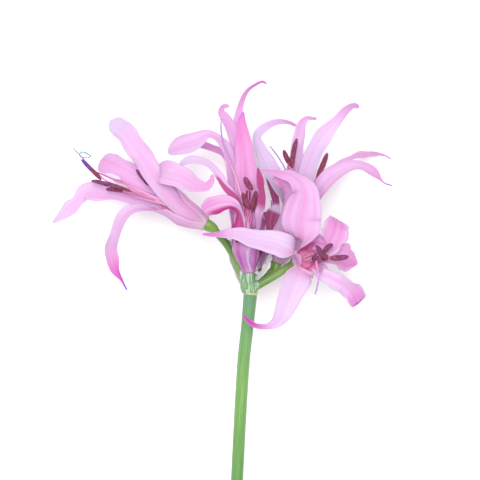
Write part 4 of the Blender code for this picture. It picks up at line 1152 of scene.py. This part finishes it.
def floor_paint():
    """The plain pale floor."""
    paint = Paint("pale_floor")
    colour = paint.stops(paint.grain(40.0), (0.0, (250, 250, 250)), (1.0, (252, 252, 252)))
    return paint.finish(colour, 0.9)


FLOOR_SIDE = 8.0
WORLD_LIGHT = 0.74
# The lights face this place. Each has its own place in metres from there, its width in metres and
# its power in watts.
LIT_PLACE = (0, 40, 0)
LIGHTS = (
    ("key_light", (-0.08, 0.12, 0.95), 0.45, 9.6),
    ("fill_light", (0.6, -0.3, 0.9), 0.9, 1.2),
)


def floor(paint):
    bpy.ops.mesh.primitive_plane_add(size=FLOOR_SIDE, location=(0, 0, 0))
    made = bpy.context.object
    made.name = "floor"
    made.data.materials.append(paint)


def lights():
    """A pale dome all round, a soft light almost straight above and a weak one to the lower right."""
    world = bpy.data.worlds.new("pale_dome")
    bpy.context.scene.world = world
    world.use_nodes = True
    dome = world.node_tree.nodes["Background"]
    dome.inputs["Color"].default_value = (1.0, 1.0, 1.0, 1.0)
    dome.inputs["Strength"].default_value = WORLD_LIGHT
    for name, offset, width, power in LIGHTS:
        lamp = bpy.data.lights.new(name, "AREA")
        lamp.shape = "DISK"
        lamp.size = width
        lamp.energy = power
        stand = bpy.data.objects.new(name, lamp)
        stand.location = Vector(place(LIT_PLACE)) + Vector(offset)
        stand.rotation_euler = (-Vector(offset)).to_track_quat("-Z", "Y").to_euler()
        bpy.context.scene.collection.objects.link(stand)


def camera():
    """Looks straight down on the flowers, with the photo's frame at the ring's height."""
    right = (PHOTO_SIDE / 2 - RING_PIXEL[0]) * MM_PER_PIXEL
    up = (RING_PIXEL[1] - PHOTO_SIDE / 2) * MM_PER_PIXEL
    lens = bpy.data.cameras.new("camera")
    lens.sensor_width = CAMERA_SENSOR
    lens.lens = CAMERA_SENSOR * CAMERA_HEIGHT / (PHOTO_SIDE * MM_PER_PIXEL)
    stand = bpy.data.objects.new("camera", lens)
    stand.location = place((right, up, CAMERA_HEIGHT))
    bpy.context.scene.collection.objects.link(stand)
    bpy.context.scene.camera = stand


def main():
    petal, stem, paper = petal_paint(), stem_paint(), paper_paint()
    stamen_paints = [filament_paint(), anther_paint(), style_paint(), stigma_paint()]
    stalk(stem)
    stem_head(stem)
    for key, flower in FLOWERS.items():
        tepals(key, flower, petal)
        stamens(key, flower, stamen_paints)
    for key, plan in BRACTS.items():
        bract(key, plan, paper)
    floor(floor_paint())
    lights()
    camera()
    bpy.context.scene.view_settings.view_transform = "Standard"


main()
